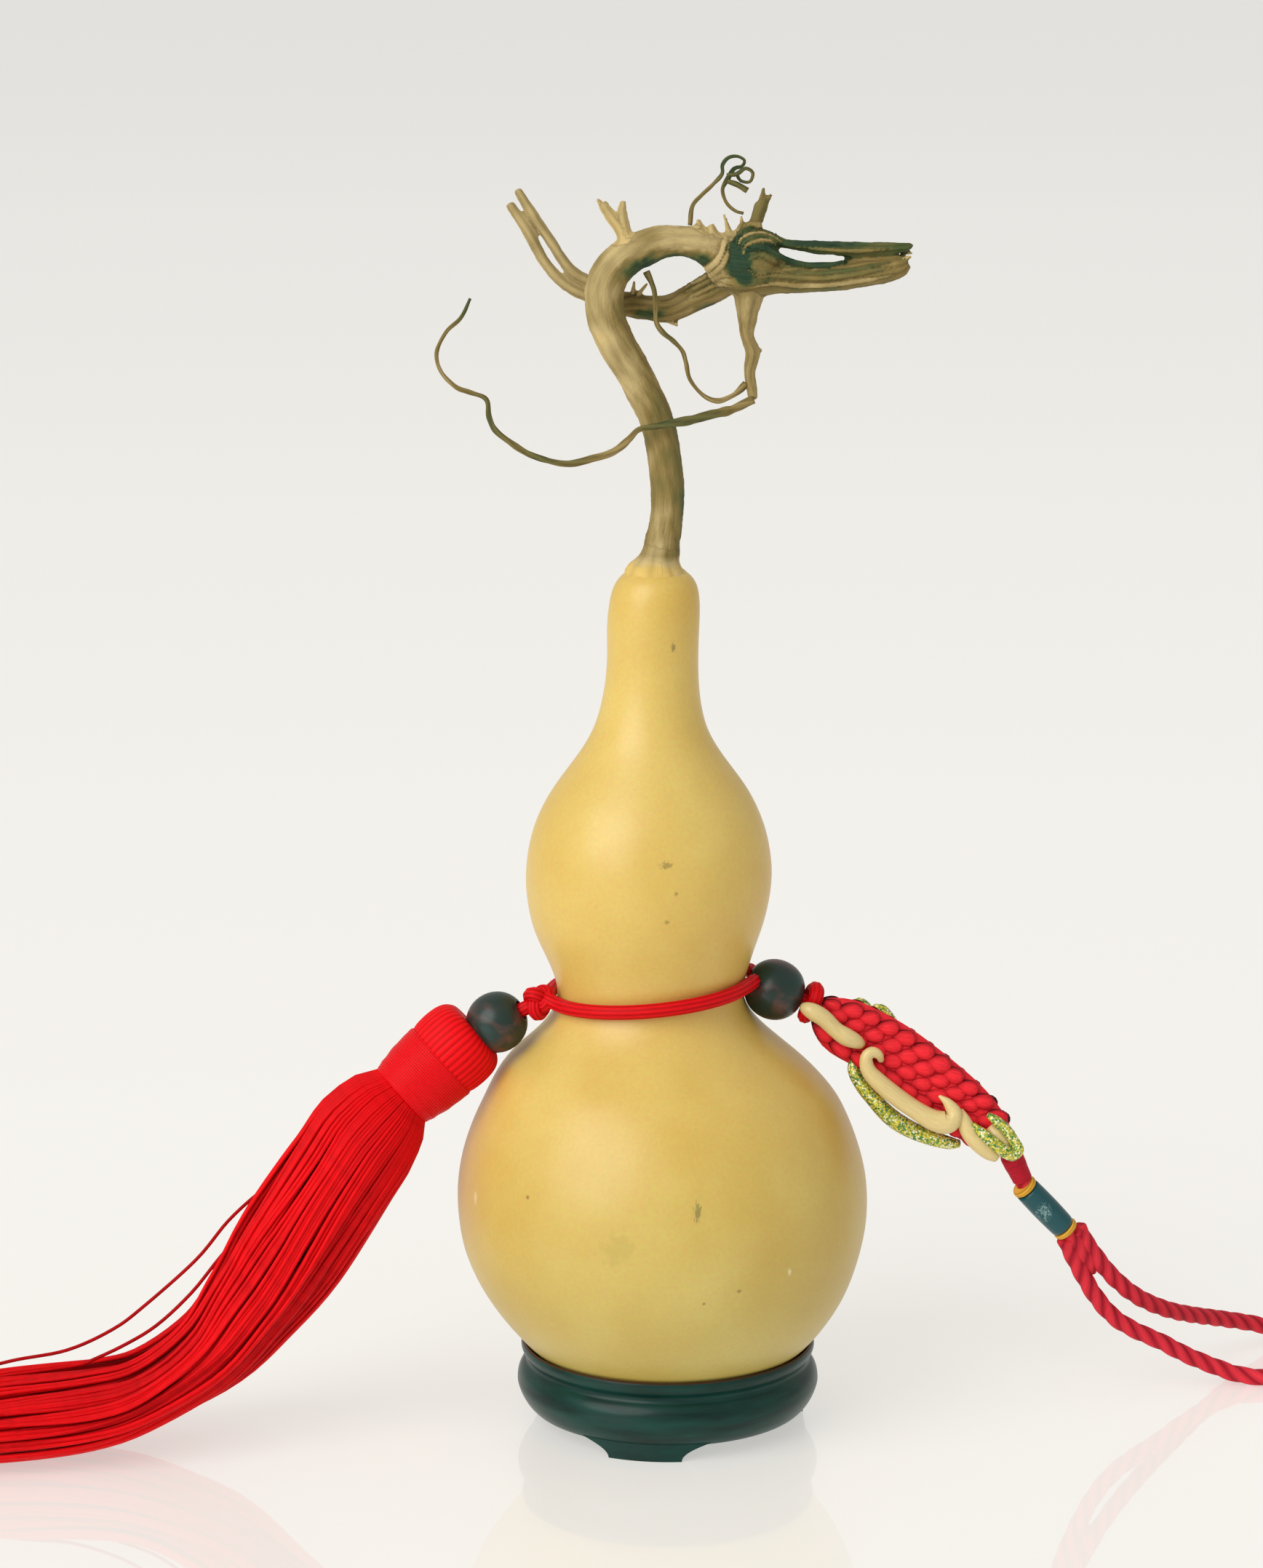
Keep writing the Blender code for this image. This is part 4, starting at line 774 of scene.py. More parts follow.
# ---------------------------------------------------------------- waist cord and its knot
# A bright red rayon cord, ribbed along its length, tied round the gourd's waist. Its two ends go through
# the right bead, and on the left they are tied in an overhand knot that hangs the tassel.
CORD_THICK = 3.4
CORD_RIBS = 9
WAIST_RADIUS = 23.5
WAIST_X = -5.6
WAIST_HEIGHT = 104.1
WAIST_TILT = 2.1
WAIST_KNOT = (-31.2, -7.5, 102.4)
KNOT_SIZE = (1.25, 1.0, 1.2)   # how wide, deep and tall the knot is pulled
KNOT_CORD = 1.7
KNOT_STEPS = 72
CORD_SIDES = 36
CORD_RIB_DEPTH = 0.13

# Ribbed rayon: saturated red with a soft thread gloss, and painted shade between the ribs.
ribbed_rayon = thread_finish("ribbed_red_rayon", "#E21219", "#AC0A12", 0.45, 0.22, 0.08)


def waist_point(degrees):
    """A point on the waist cord's middle, at an angle round the gourd from +X."""
    swing = math.radians(degrees)
    return (WAIST_X + WAIST_RADIUS * math.cos(swing), WAIST_RADIUS * math.sin(swing),
            WAIST_HEIGHT + WAIST_TILT * math.cos(swing))


front_run = [(-29.6, -8.4, 103.2)] + [waist_point(angle) for angle in range(208, 341, 12)]
front_run += [(17.9, -5.4, 106.4), (18.6, -2.6, 106.0), (19.8, -0.8, 104.8)]
back_run = [(-29.6, -6.6, 104.6)] + [waist_point(angle) for angle in range(188, 19, -12)]
back_run += [(17.9, 5.4, 106.4), (18.6, 2.6, 106.0), (19.8, 0.8, 104.8)]
overhand = []                  # three lobes, as an overhand knot has when it is drawn tight, closed in a ring
for step in range(KNOT_STEPS):
    turn = 2 * math.pi * step / KNOT_STEPS
    overhand.append((WAIST_KNOT[0] + KNOT_SIZE[0] * (math.sin(turn) + 2 * math.sin(2 * turn)) * 0.62,
                     WAIST_KNOT[1] - KNOT_SIZE[1] * math.sin(3 * turn) * 1.4,
                     WAIST_KNOT[2] + KNOT_SIZE[2] * (math.cos(turn) - 2 * math.cos(2 * turn)) * 0.8))
overhand.append(overhand[0])
waist = make_piece("waist_cord_ribbed", [
    skin(smooth(run, 0.8), CORD_SIDES, CORD_THICK / 2, ribs=CORD_RIBS, rib_depth=CORD_RIB_DEPTH)
    for run in (front_run, back_run)])
settle(waist, ribbed_rayon, "red_cord", "waist_cord_front", "waist_cord_back")
knot = make_piece("overhand_knot", [skin(overhand, CORD_SIDES, KNOT_CORD, ribs=CORD_RIBS, rib_depth=0.15)])
settle(knot, ribbed_rayon, "red_cord", "waist_knot")


# ---------------------------------------------------------------- two dark beads
# Turned and polished green-black stone beads, a little barrel-shaped, drilled through for the cord.
# The left one sits between the knot and the tassel, the right one between the waist and the charm.
BEAD_RADIUS = 7.05
BORE_RADIUS = 2.0
BEAD_STEPS = 18
LEFT_BEAD = (-41.0, -5.8, 97.0)
RIGHT_BEAD = (23.1, 0.0, 103.3)
RIGHT_BORE = (0.93, 0.0, -0.37)
TASSEL_TOP = (-47.8, -4.6, 93.2)
left_bore = Vector(TASSEL_TOP) - Vector(WAIST_KNOT)

# Polished dark stone: green-black with brown clouds and a broad soft gloss.
polished_stone, shader = finish_for("polished_green_black_stone", 0.36, Coat_Weight=0.1,
                                    Coat_Roughness=0.2, Specular_IOR_Level=0.35)
place = node(polished_stone, "ShaderNodeTexCoord")
cloud = node(polished_stone, "ShaderNodeTexNoise", {"Vector": place.outputs["Object"], "Scale": 110.0,
                                                    "Detail": 4.0, "Distortion": 0.8})
stone = node(polished_stone, "ShaderNodeValToRGB", {"Fac": cloud.outputs["Fac"]},
             stops=[(0.35, "#12332C"), (0.66, "#5A3C34"), (0.5, "#1F2E29")])
fine = node(polished_stone, "ShaderNodeBump", {"Height": cloud.outputs["Fac"], "Strength": 0.1,
                                               "Distance": 0.1 * MM})
feed(polished_stone, shader, Base_Color=stone.outputs["Color"], Normal=fine.outputs["Normal"])

edge = math.asin(BORE_RADIUS / BEAD_RADIUS)
for name, middle, bore in (("bead_left", LEFT_BEAD, left_bore), ("bead_right", RIGHT_BEAD, RIGHT_BORE)):
    barrel = []
    for step in range(BEAD_STEPS + 1):
        angle = edge + (math.pi - 2 * edge) * step / BEAD_STEPS
        barrel.append((BEAD_RADIUS * math.sin(angle) ** 0.9, -BEAD_RADIUS * math.cos(angle) * 0.985))
    bead = turn_on_lathe(name + "_polished", barrel, 48, middle, bore, bored=True)
    shape_with(bead, "BEVEL", width=0.25 * MM, segments=2, limit_method="ANGLE")
    bead.data.shade_smooth()
    bead.data.set_sharp_from_angle(angle=math.radians(60))
    settle(bead, polished_stone, "dark_bead", name)


def beyond(start, direction, distance):
    """The point at a distance from start in a direction."""
    return tuple(Vector(start) + Vector(direction).normalized() * distance)


BUTTON_AT = 8.95               # the button knot's middle, along the right bead's bore
for name, start, bore, reach in (("bead_cord_left", WAIST_KNOT, left_bore, (2.0, left_bore.length - 1.0)),
                                 ("bead_cord_right", RIGHT_BEAD, RIGHT_BORE, (-5.8, BUTTON_AT - 1.0))):
    line = smooth([beyond(start, bore, reach[0]), beyond(start, bore, reach[1])], 0.8)
    run = make_piece(name + "_ribbed", [
        skin(line, CORD_SIDES, CORD_THICK / 2, ribs=CORD_RIBS, rib_depth=CORD_RIB_DEPTH)])
    settle(run, ribbed_rayon, "red_cord", name)


# ---------------------------------------------------------------- tassel head
# Red rayon threads folded over a cord and bound: a domed cap whose threads run down from the bead,
# then a band of finer thread wound round them.
TASSEL_DIRECTION = (-0.75, -0.13, -0.65)
CAP_LINE = [                   # radius and distance from the top
    (2.2, -0.2), (3.4, -1.2), (5.0, -2.2), (6.6, -2.6), (8.0, -2.1), (9.2, -0.9), (9.9, 0.8), (10.2, 3.0),
    (10.2, 5.2), (10.0, 7.0), (9.6, 8.4),
]
CAP_THREADS = 40
BAND_LINE = [(9.9, 8.0), (10.1, 8.6), (10.0, 10.0), (9.7, 14.0), (9.0, 18.0), (8.5, 20.0), (8.2, 20.5)]
BAND_PITCH = 0.55
BAND_SLANT = 0.5

# Folded rayon thread: strong red, with a soft gloss down each thread; the deep red between the threads of the
# cap and the turns of the band is painted shade.
folded_thread = thread_finish("folded_red_rayon", "#F51018", "#C00A10", 0.45, 0.2, 0.06)
wound_thread = thread_finish("wound_red_rayon", "#F0141B", "#B20A12", 0.42, 0.16, 0.05)


def winding(start, direction, outline, pitch, depth, sides=96, slant=0.0):
    """Thread wound side by side round an axis, on an outline of radius and distance."""
    axis = Vector(direction).normalized()
    up = Vector((0, 1, 0)).cross(axis).normalized()
    side = axis.cross(up)
    first, last = outline[0][1], outline[-1][1]
    radii = [(distance, radius) for radius, distance in outline]
    rings = max(3, round((last - first) / pitch * 5)) + 1
    points, lies, grooves = [], [], []
    for i in range(rings):
        distance = first + (last - first) * i / (rings - 1)
        for k in range(sides):
            angle = 2 * math.pi * k / sides
            groove = 1 - abs(math.cos(math.pi * distance / pitch - angle / 2))
            radius = value_at(radii, distance) - depth * groove
            points.append(Vector(start) + axis * (distance + slant * math.sin(angle))
                          + up * radius * math.cos(angle) + side * radius * math.sin(angle))
            lies.append((distance, radius, angle * radius))
            grooves.append(groove)
    for distance in (first, last):
        points.append(Vector(start) + axis * distance)
        lies.append((distance, 0.0, 0.0))
        grooves.append(0.0)
    return points, close_rings(rings, sides), lies, grooves


cap_route = [(*beyond(TASSEL_TOP, TASSEL_DIRECTION, distance), radius, radius)
             for radius, _, distance in smooth([(r, 0, d) for r, d in CAP_LINE], 0.35)]
cap = make_piece("tassel_cap_folded", [skin(cap_route, CAP_THREADS * 6, ribs=CAP_THREADS, rib_depth=0.022)])
settle(cap, folded_thread, "tassel_thread", "tassel_cap")
band = make_piece("tassel_band_wound", [winding(TASSEL_TOP, TASSEL_DIRECTION, BAND_LINE, BAND_PITCH, 0.1,
                                                sides=120, slant=BAND_SLANT)])
settle(band, wound_thread, "tassel_thread", "tassel_band")


# ---------------------------------------------------------------- tassel skirt
# Some hundreds of two-ply rayon threads that hang from the band in clumps, bend where they meet the floor and
# lie along it. The outer ones are modelled one by one over a solid middle; the middle is painted in the deep
# red and the deeper-lying threads darker, as painted shade.
SKIRT = [                      # x, y, z, half height and half depth
    (-60.8, -6.9, 81.9, 7.2, 7.2), (-63.4, -7.3, 79.7, 8.6, 8.4), (-66.0, -8.0, 77.2, 11.0, 10.0),
    (-71.0, -9.6, 71.5, 13.0, 11.5), (-76.0, -11.0, 64.0, 13.2, 12.5), (-88.4, -14.0, 45.2, 13.0, 13.0),
    (-96.6, -16.5, 33.9, 11.4, 13.5), (-106.2, -19.0, 22.8, 9.9, 14.5), (-120.9, -22.0, 14.4, 8.3, 16.5),
    (-134.8, -24.0, 11.0, 8.8, 18.0), (-155.5, -26.0, 9.2, 8.4, 19.5), (-172.0, -26.5, 7.6, 7.0, 20.5),
    (-189.0, -27.0, 5.4, 4.9, 21.0),
]
THREAD_HALF = 0.52
FOLD_DEPTH = 1.8               # how far a clump of threads sinks or stands out along its length
MIDDLE_BELOW = 2.9             # how far the solid middle lies under the outline
MIDDLE_STOPS_SHORT = 3         # and how many stations before the threads' ends it ends
LAYERS = [(92, 0.5), (80, 1.5), (62, 2.6)]     # threads in a layer and how deep they lie
CLUMPS = 17
STRAY_THREADS = [
    [(-84.0, -10.0, 65.0), (-92.0, -9.0, 59.6), (-96.2, -9, 57.1), (-103.1, -12, 51.3), (-110.4, -15, 42.9),
     (-122.3, -18, 32.7), (-129.5, -20, 27.7), (-139.9, -22, 23.4), (-152.9, -24, 21.4), (-166.0, -25, 17.6),
     (-180.0, -26, 10.0)],
    [(-85.0, -11.0, 60.0), (-93.0, -11.0, 55.0), (-98.0, -12, 50.4), (-104.6, -14, 43.6), (-111.4, -17, 35.6),
     (-119.4, -19, 28.4), (-127.3, -21, 24.0), (-136.0, -23, 20.4)],
]
random.seed(11)
spine = smooth(SKIRT, 3.2)
spine_stations = stations_on(spine, upright=True)
points, faces, lies, _ = skin([(*station[:3], station[3] - MIDDLE_BELOW, station[4] - MIDDLE_BELOW)
                               for station in spine[:-MIDDLE_STOPS_SHORT]], 40, upright=True)
# painted shade: the solid middle is coloured with the full deep red
threads = [(points, faces, lies, [1.0] * len(points))]
for layer, (count, depth) in enumerate(LAYERS):
    for index in range(count):
        start_angle = 2 * math.pi * (index + 0.5 * random.random()) / count
        clump = 2 * math.pi * (round(start_angle / (2 * math.pi) * CLUMPS + 0.4 * random.random())) / CLUMPS
        draw = random.uniform(0.15, 0.6)
        lift = random.uniform(-0.35, 0.35)
        length = random.uniform(0.955, 1.0)
        route, shades = [], []
        for i, (station, (centre, up, side, _)) in enumerate(zip(spine, spine_stations)):
            along = i / (len(spine) - 1)
            if along > length:
                break
            free = min(1.0, along * 4)
            angle = start_angle + free * (draw * (0.3 + along) * (clump - start_angle)
                                          + 0.16 * noise.noise(Vector((start_angle * 3, along * 4, layer))))
            fold = noise.noise(Vector((clump * 5, along * 2.5, layer * 0.3)))
            stray_by = noise.noise(Vector((start_angle * 9, along * 6, layer)))
            sink = depth + free * (lift + FOLD_DEPTH * fold + 0.5 * stray_by)
            tall, deep = station[3] - sink, station[4] - sink
            reach = math.pi * (tall + deep) / count
            half = min(THREAD_HALF, reach * 0.62)
            spot = centre + up * tall * math.cos(angle) + side * deep * math.sin(angle)
            spot.z = max(spot.z, half + 0.05)
            route.append((*spot, half, half))
            # painted shade: the deeper a thread lies, the darker it is coloured
            shades += [max(0.0, min(1.0, 0.25 * sink - 0.06))] * 6
        points, faces, lies, _ = skin(route, 6)
        threads.append((points, faces, lies, shades + [0.5, 0.5]))
for stray in STRAY_THREADS:
    points, faces, lies, _ = skin(smooth(stray, 2.0), 6, THREAD_HALF * 0.8)
    threads.append((points, faces, lies, [0.5] * len(points)))
skirt = make_piece("tassel_skirt_threads", threads)
# Loose rayon thread: strong red, with painted shade in deep red where the threads lie deep.
loose_thread = thread_finish("loose_red_rayon", "#E60D14", "#660206", 0.5, 0.25, 0.06)
settle(skirt, loose_thread, "tassel_thread", "tassel_skirt")


# ---------------------------------------------------------------- button knot
# A small red knot of the same rayon cord, drawn up tight between the right bead and the charm, which it
# keeps apart. Two turns of the cord show, one above the other.
BUTTON_RADIUS = 2.6
BUTTON_CORD = 1.75
button_middle = Vector(beyond(RIGHT_BEAD, RIGHT_BORE, BUTTON_AT))
button_axis = Vector(RIGHT_BORE).normalized()
button_up = Vector((0, 1, 0)).cross(button_axis).normalized()
button_loops = []
for rise, reach, tilt in ((1.7, 1.5, 0.5), (-1.9, 1.7, -0.4)):
    loop = []
    for step in range(25):
        turn = 2 * math.pi * step / 24
        loop.append(tuple(button_middle + button_up * (rise + reach * math.cos(turn))
                          + Vector((0, 1, 0)) * BUTTON_RADIUS * 0.8 * math.sin(turn)
                          + button_axis * tilt * math.sin(turn)))
    button_loops.append(skin(loop, 30, BUTTON_CORD, ribs=CORD_RIBS, rib_depth=0.12))
button = make_piece("button_knot_tied", button_loops)
settle(button, ribbed_rayon, "red_cord", "button_knot")


# ---------------------------------------------------------------- woven charm
# A flat plait of soft crimson cord, about 14 mm wide and 50 mm long. Its four columns of lobes
# overlap like scales, each lobe one turn of the plait showing on the face.
PANEL = [                      # x, y, z, half width and half thickness
    (33.4, 0.0, 98.9, 3.0, 2.0), (35.8, 0.0, 97.0, 5.4, 2.2), (39.7, 0.0, 94.2, 7.0, 2.3),
    (48.9, 0.0, 89.2, 7.2, 2.3), (57.1, 0.0, 83.2, 7.2, 2.3), (66.5, 0.0, 75.4, 6.9, 2.3),
    (72.7, 0.0, 70.1, 5.4, 2.3), (76.4, 0.0, 66.6, 3.4, 2.0),
]
LOBE_PITCH = 4.7
LOBE_HALF = (3.2, 1.95, 1.7)   # along, across and proud of the face
LOBE_TAPER = 0.34
FULL_LOBE_WIDTH = 5.5          # where the charm is narrower than this its lobes are smaller
COLUMN_TURNS = (26.0, 34.0, 30.0, -6.0)     # degrees each column's lobes lean from the charm's length
plait = [skin(smooth(PANEL, 1.5), 24, upright=True)]
panel_line = smooth(PANEL, 0.5)
panel_stations = stations_on(panel_line, upright=True)
panel_length = panel_stations[-1][3]
deselect()
bpy.ops.mesh.primitive_uv_sphere_add(segments=14, ring_count=9, radius=1.0)
lobe = bpy.context.object
bpy.ops.object.mode_set(mode="EDIT")
bpy.ops.mesh.select_all(action="SELECT")
bpy.ops.transform.rotate(value=math.pi / 2, orient_axis="Y", center_override=(0, 0, 0))
bpy.ops.object.mode_set(mode="OBJECT")
lobe_points = [corner.co.copy() for corner in lobe.data.vertices]
lobe_faces = [tuple(face.vertices) for face in lobe.data.polygons]
bpy.data.objects.remove(lobe, do_unlink=True)
for face_side in (-1, 1):
    for column, lean in enumerate(COLUMN_TURNS):
        offset = 1.0 - (column + 0.5) / 2
        distance = LOBE_PITCH * (0.35 + 0.5 * (column % 2))
        while distance < panel_length - 1.0:
            near = min(range(len(panel_stations)), key=lambda i: abs(panel_stations[i][3] - distance))
            centre, up, side, _ = panel_stations[near]
            along = side.cross(up).normalized()
            width, thick = panel_line[near][3:5]
            uneven = noise.noise(Vector((column * 4.0, distance, face_side)))
            fit = min(1.0, width / FULL_LOBE_WIDTH) * (1 + 0.16 * uneven)
            swing = math.radians(lean + 14 * noise.noise(Vector((distance * 0.7, column, face_side))))
            length_way = along * math.cos(swing) + up * math.sin(swing)
            cross_way = up * math.cos(swing) - along * math.sin(swing)
            middle = centre - up * offset * (width - fit) + side * face_side * thick * 0.72
            points, lies, grooves = [], [], []
            for point in lobe_points:
                taper = 1 - LOBE_TAPER * point.x
                shaped = (length_way * point.x * LOBE_HALF[0] + cross_way * point.y * LOBE_HALF[1] * taper
                          + side * face_side * point.z * LOBE_HALF[2] * taper) * fit
                points.append(middle + shaped - side * face_side * 0.5 * max(0.0, point.x))
                lies.append((point.y * LOBE_HALF[1], point.z * LOBE_HALF[2],
                             point.x * LOBE_HALF[0] + distance * 7))
                # painted shade: each lobe darkens towards its flanks and its far end, where it tucks under
                # the next
                grooves.append(max(0.0, min(1.0, 1.0 - 1.1 * point.z + 0.35 * point.x)))
            flip = length_way.cross(cross_way).dot(side * face_side) < 0
            faces = [tuple(reversed(face)) for face in lobe_faces] if flip else lobe_faces
            plait.append((points, faces, lies, grooves))
            distance += LOBE_PITCH * (1 + 0.12 * noise.noise(Vector((distance, column * 3.0, face_side))))
panel = make_piece("woven_panel_plaited", plait)
# Plaited cord: crimson, with painted shade in near black red between the lobes.
plaited_cord = thread_finish("plaited_crimson_cord", "#F02E38", "#44040A", 0.6, 0.35, 0.1)
settle(panel, plaited_cord, "crimson_braid", "woven_panel")


# ---------------------------------------------------------------- ivory and gold cords of the charm
# Smooth ivory satin cord is laced in and out of the plait in three stretches, with a gold and green
# metallic cord beside it: along the lower edge, behind the top edge and looped over the end.
IVORY_CORDS = {                # x, y, z, half height and half depth
    "ivory_cord_short": [
        (29.4, -4.6, 100.4, 1.0, 1.0), (30.3, -5.4, 100.1, 1.6, 1.5), (31.9, -5.8, 99.4, 2.0, 1.9),
        (34.3, -5.6, 97.8, 2.0, 1.9), (37.0, -5.3, 95.1, 1.9, 1.8), (39.4, -5.2, 93.4, 2.1, 2.0),
        (41.6, -4.6, 92.2, 1.8, 1.7), (43.2, -3.4, 91.0, 1.1, 1.0),
    ],
    "ivory_cord_long": [
        (47.7, -3.6, 87.3, 0.7, 0.7), (47.0, -4.8, 89.0, 1.1, 1.0), (45.5, -5.0, 89.6, 1.4, 1.3),
        (44.2, -5.2, 88.4, 1.5, 1.4), (44.7, -5.3, 85.4, 1.8, 1.7), (47.5, -5.4, 82.3, 2.1, 2.0),
        (51.7, -5.4, 78.8, 2.2, 2.0), (55.8, -5.4, 75.9, 2.2, 2.0), (59.7, -5.4, 73.6, 2.5, 2.3),
        (63.1, -5.3, 73.0, 2.7, 2.5), (64.7, -5.2, 74.9, 2.0, 1.9), (63.2, -5.0, 77.5, 1.2, 1.1),
        (61.1, -4.8, 79.2, 0.3, 0.3),
    ],
    "ivory_cord_end": [
        (66.4, -3.8, 75.6, 0.5, 0.5), (66.7, -4.6, 74.2, 1.3, 1.2), (67.9, -4.9, 71.2, 2.0, 1.8),
        (70.2, -5.0, 68.3, 2.2, 2.0), (72.9, -4.8, 65.8, 2.0, 1.8), (74.8, -4.4, 64.3, 1.3, 1.2),
    ],
}
GOLD_CORDS = {
    "gold_cord_side": [
        (41.7, -0.8, 87.3, 1.0, 0.9), (41.5, -1.4, 84.4, 1.4, 1.3), (43.4, -2.2, 80.9, 1.6, 1.5),
        (46.1, -2.6, 77.8, 1.8, 1.7), (48.9, -2.6, 74.7, 2.0, 1.9), (51.8, -2.6, 72.3, 2.1, 2.0),
        (55.5, -2.4, 70.1, 2.0, 1.9), (59.8, -2.2, 68.3, 1.8, 1.7), (64.0, -1.8, 67.0, 1.5, 1.4),
        (66.3, -1.2, 66.7, 0.9, 0.8),
    ],
    "gold_cord_top": [
        (40.4, 2.6, 96.8, 0.8, 0.7), (41.5, 3.2, 98.4, 1.1, 1.0), (42.9, 3.8, 99.2, 1.2, 1.1),
        (44.4, 3.8, 98.4, 1.2, 1.1), (45.6, 3.4, 97.0, 1.1, 1.0), (46.9, 3.6, 97.7, 1.3, 1.2),
        (48.4, 3.8, 97.2, 1.4, 1.3), (50.3, 3.6, 95.3, 1.2, 1.1), (52.0, 3.0, 93.3, 0.8, 0.7),
    ],
    "gold_cord_end": [
        (69.0, -6.0, 72.9, 0.4, 0.4), (70.6, -6.9, 71.3, 1.1, 1.0), (73.0, -7.2, 69.2, 1.4, 1.3),
        (75.7, -7.0, 66.9, 1.5, 1.4), (78.1, -6.6, 65.5, 1.5, 1.4), (79.5, -6.2, 66.6, 1.4, 1.3),
        (78.5, -6.0, 68.7, 1.3, 1.2), (76.6, -6.0, 71.5, 1.3, 1.2), (74.2, -5.8, 73.6, 1.2, 1.1),
        (72.4, -5.2, 74.8, 0.6, 0.6),
    ],
}
IVORY_LINING = [               # where the end stretch shows between the two arms of the gold loop
    (72.9, -4.0, 71.5, 1.0, 0.9), (74.4, -4.6, 69.9, 1.8, 1.7), (76.2, -4.8, 67.5, 1.7, 1.6),
    (77.1, -4.6, 66.2, 1.2, 1.1),
]

# Ivory satin: warm off-white with a soft gloss and faint tan streaks along its threads.
ivory_satin = thread_finish("ivory_satin_cord", "#DCC689", "#B29452", 0.3, 0.3, 0.03,
                            Specular_IOR_Level=0.45)
for name, points in IVORY_CORDS.items():
    runs = [points, IVORY_LINING] if name == "ivory_cord_end" else [points]
    cord = make_piece(name + "_satin", [skin(smooth(run, 0.6), 32) for run in runs])
    settle(cord, ivory_satin, "ivory_cord", name)

# Knitted metallic thread: cells of gold, pale gold and green foil, each under a millimetre across; the dark
# olive in the gaps between the cells is painted shade.
KNIT_CELL = 0.44
foil_knit, shader = finish_for("knitted_gold_green_foil", 0.34, Metallic=0.3, Specular_IOR_Level=0.6)
lie = node(foil_knit, "ShaderNodeAttribute", attribute_name="lie")
knit = node(foil_knit, "ShaderNodeTexVoronoi", {"Vector": lie.outputs["Vector"], "Scale": 1 / KNIT_CELL,
                                                "Randomness": 0.6})
lot = node(foil_knit, "ShaderNodeSeparateColor", {0: knit.outputs["Color"]})
foil = node(foil_knit, "ShaderNodeValToRGB", {"Fac": lot.outputs[0]},
            stops=[(0.0, "#4E8C42"), (0.82, "#FFFBD0"), (0.2, "#A6B848"), (0.42, "#E6D63E"),
                   (0.66, "#F4E868")])
foil.color_ramp.interpolation = "CONSTANT"
# painted shade: the gaps between the knit cells are mixed towards dark olive
gap = node(foil_knit, "ShaderNodeMapRange", {"Value": knit.outputs["Distance"], "From Min": 0.42,
                                             "From Max": 0.66, "To Max": 0.6})
knitted = node(foil_knit, "ShaderNodeMix", {0: gap.outputs[0], 6: foil.outputs["Color"],
                                            7: colour("#4A5A24")}, data_type="RGBA")
stitches = node(foil_knit, "ShaderNodeBump", {"Height": knit.outputs["Distance"], "Strength": 0.7,
                                              "Distance": 0.2 * MM}, invert=True)
feed(foil_knit, shader, Base_Color=knitted.outputs[2], Normal=stitches.outputs["Normal"])
for name, points in GOLD_CORDS.items():
    cord = make_piece(name + "_knitted", [skin(smooth(points, 0.5), 28, ribs=10, rib_depth=0.05)])
    settle(cord, foil_knit, "gold_green_cord", name)


# ---------------------------------------------------------------- bound end of the charm
# The crimson cord leaves the plait whipped with its own thread, then passes through a teal film sleeve
# held between two rings of yellow thread, and comes out as the hanging loop.
BIND_TOP = (79.2, 0.9, 61.9)
BIND_BEND = (82.7, 2.6, 54.4)
BIND_END = (92.2, 5.7, 43.8)
CORE_START = (76.9, -0.2, 67.0)
CORE_RADIUS = 2.0
WOUND_SIDES = 60
CORE_TAIL = [                  # it runs on between the two legs of the loop and tapers out where they part
    (95.8, 8.0, 38.5, 2.2, 2.0), (98.2, 10.1, 34.2, 1.9, 1.8), (99.6, 11.4, 31.4, 0.7, 0.7),
]
WHIPPING_LINE = [(2.4, -2.6), (2.7, -1.2), (2.65, 0.6), (2.45, 3.0), (2.35, 5.2)]
RING_LINE = [(2.4, 0.0), (2.9, 0.2), (3.1, 0.8), (3.0, 1.4), (2.4, 1.7)]
SLEEVE_START = -0.3
SLEEVE_LENGTH = 13.9
SLEEVE_LINE = [(2.4, 0.0), (2.85, 0.15), (3.05, 0.8), (3.15, 7.0), (3.0, 12.9), (2.8, 13.6), (2.4, 13.8)]
first_way = Vector(BIND_BEND) - Vector(BIND_TOP)
second_way = Vector(BIND_END) - Vector(BIND_BEND)

core_run = [(*spot, CORE_RADIUS, CORE_RADIUS) for spot in (
    CORE_START, BIND_TOP, beyond(BIND_BEND, first_way, -1.0), beyond(BIND_BEND, second_way, 1.0),
    beyond(BIND_BEND, second_way, 6.0), BIND_END)]
core = make_piece("core_cord_crimson", [skin(smooth(core_run + CORE_TAIL, 0.8), 24, ribs=3, rib_depth=0.12,
                                             lay=ROPE_LAY)])
settle(core, laid_polyester, "crimson_braid", "core_cord")
whipping = make_piece("red_whipping_wound", [
    winding(BIND_TOP, first_way, WHIPPING_LINE, 0.5, 0.06, sides=WOUND_SIDES)])
# Whipped thread: crimson, with painted shade between the turns.
whipped_thread = thread_finish("whipped_crimson_thread", "#CC2234", "#8A1020", 0.45, 0.2, 0.05)
settle(whipping, whipped_thread, "crimson_braid", "red_whipping")

# Yellow thread: golden, wound in three turns, with painted shade between the turns.
yellow_floss = thread_finish("yellow_cotton_floss", "#E6B044", "#A8741C", 0.5, 0.2, 0.05)
sleeve_start = beyond(BIND_BEND, second_way, SLEEVE_START)
for name, start in (("yellow_ring_upper", beyond(BIND_BEND, second_way, -2.0)),
                    ("yellow_ring_lower", beyond(sleeve_start, second_way, SLEEVE_LENGTH - 0.2))):
    ring = make_piece(name + "_wound", [
        winding(start, second_way, RING_LINE, 0.6, 0.12, sides=WOUND_SIDES)])
    settle(ring, yellow_floss, "yellow_thread", name)

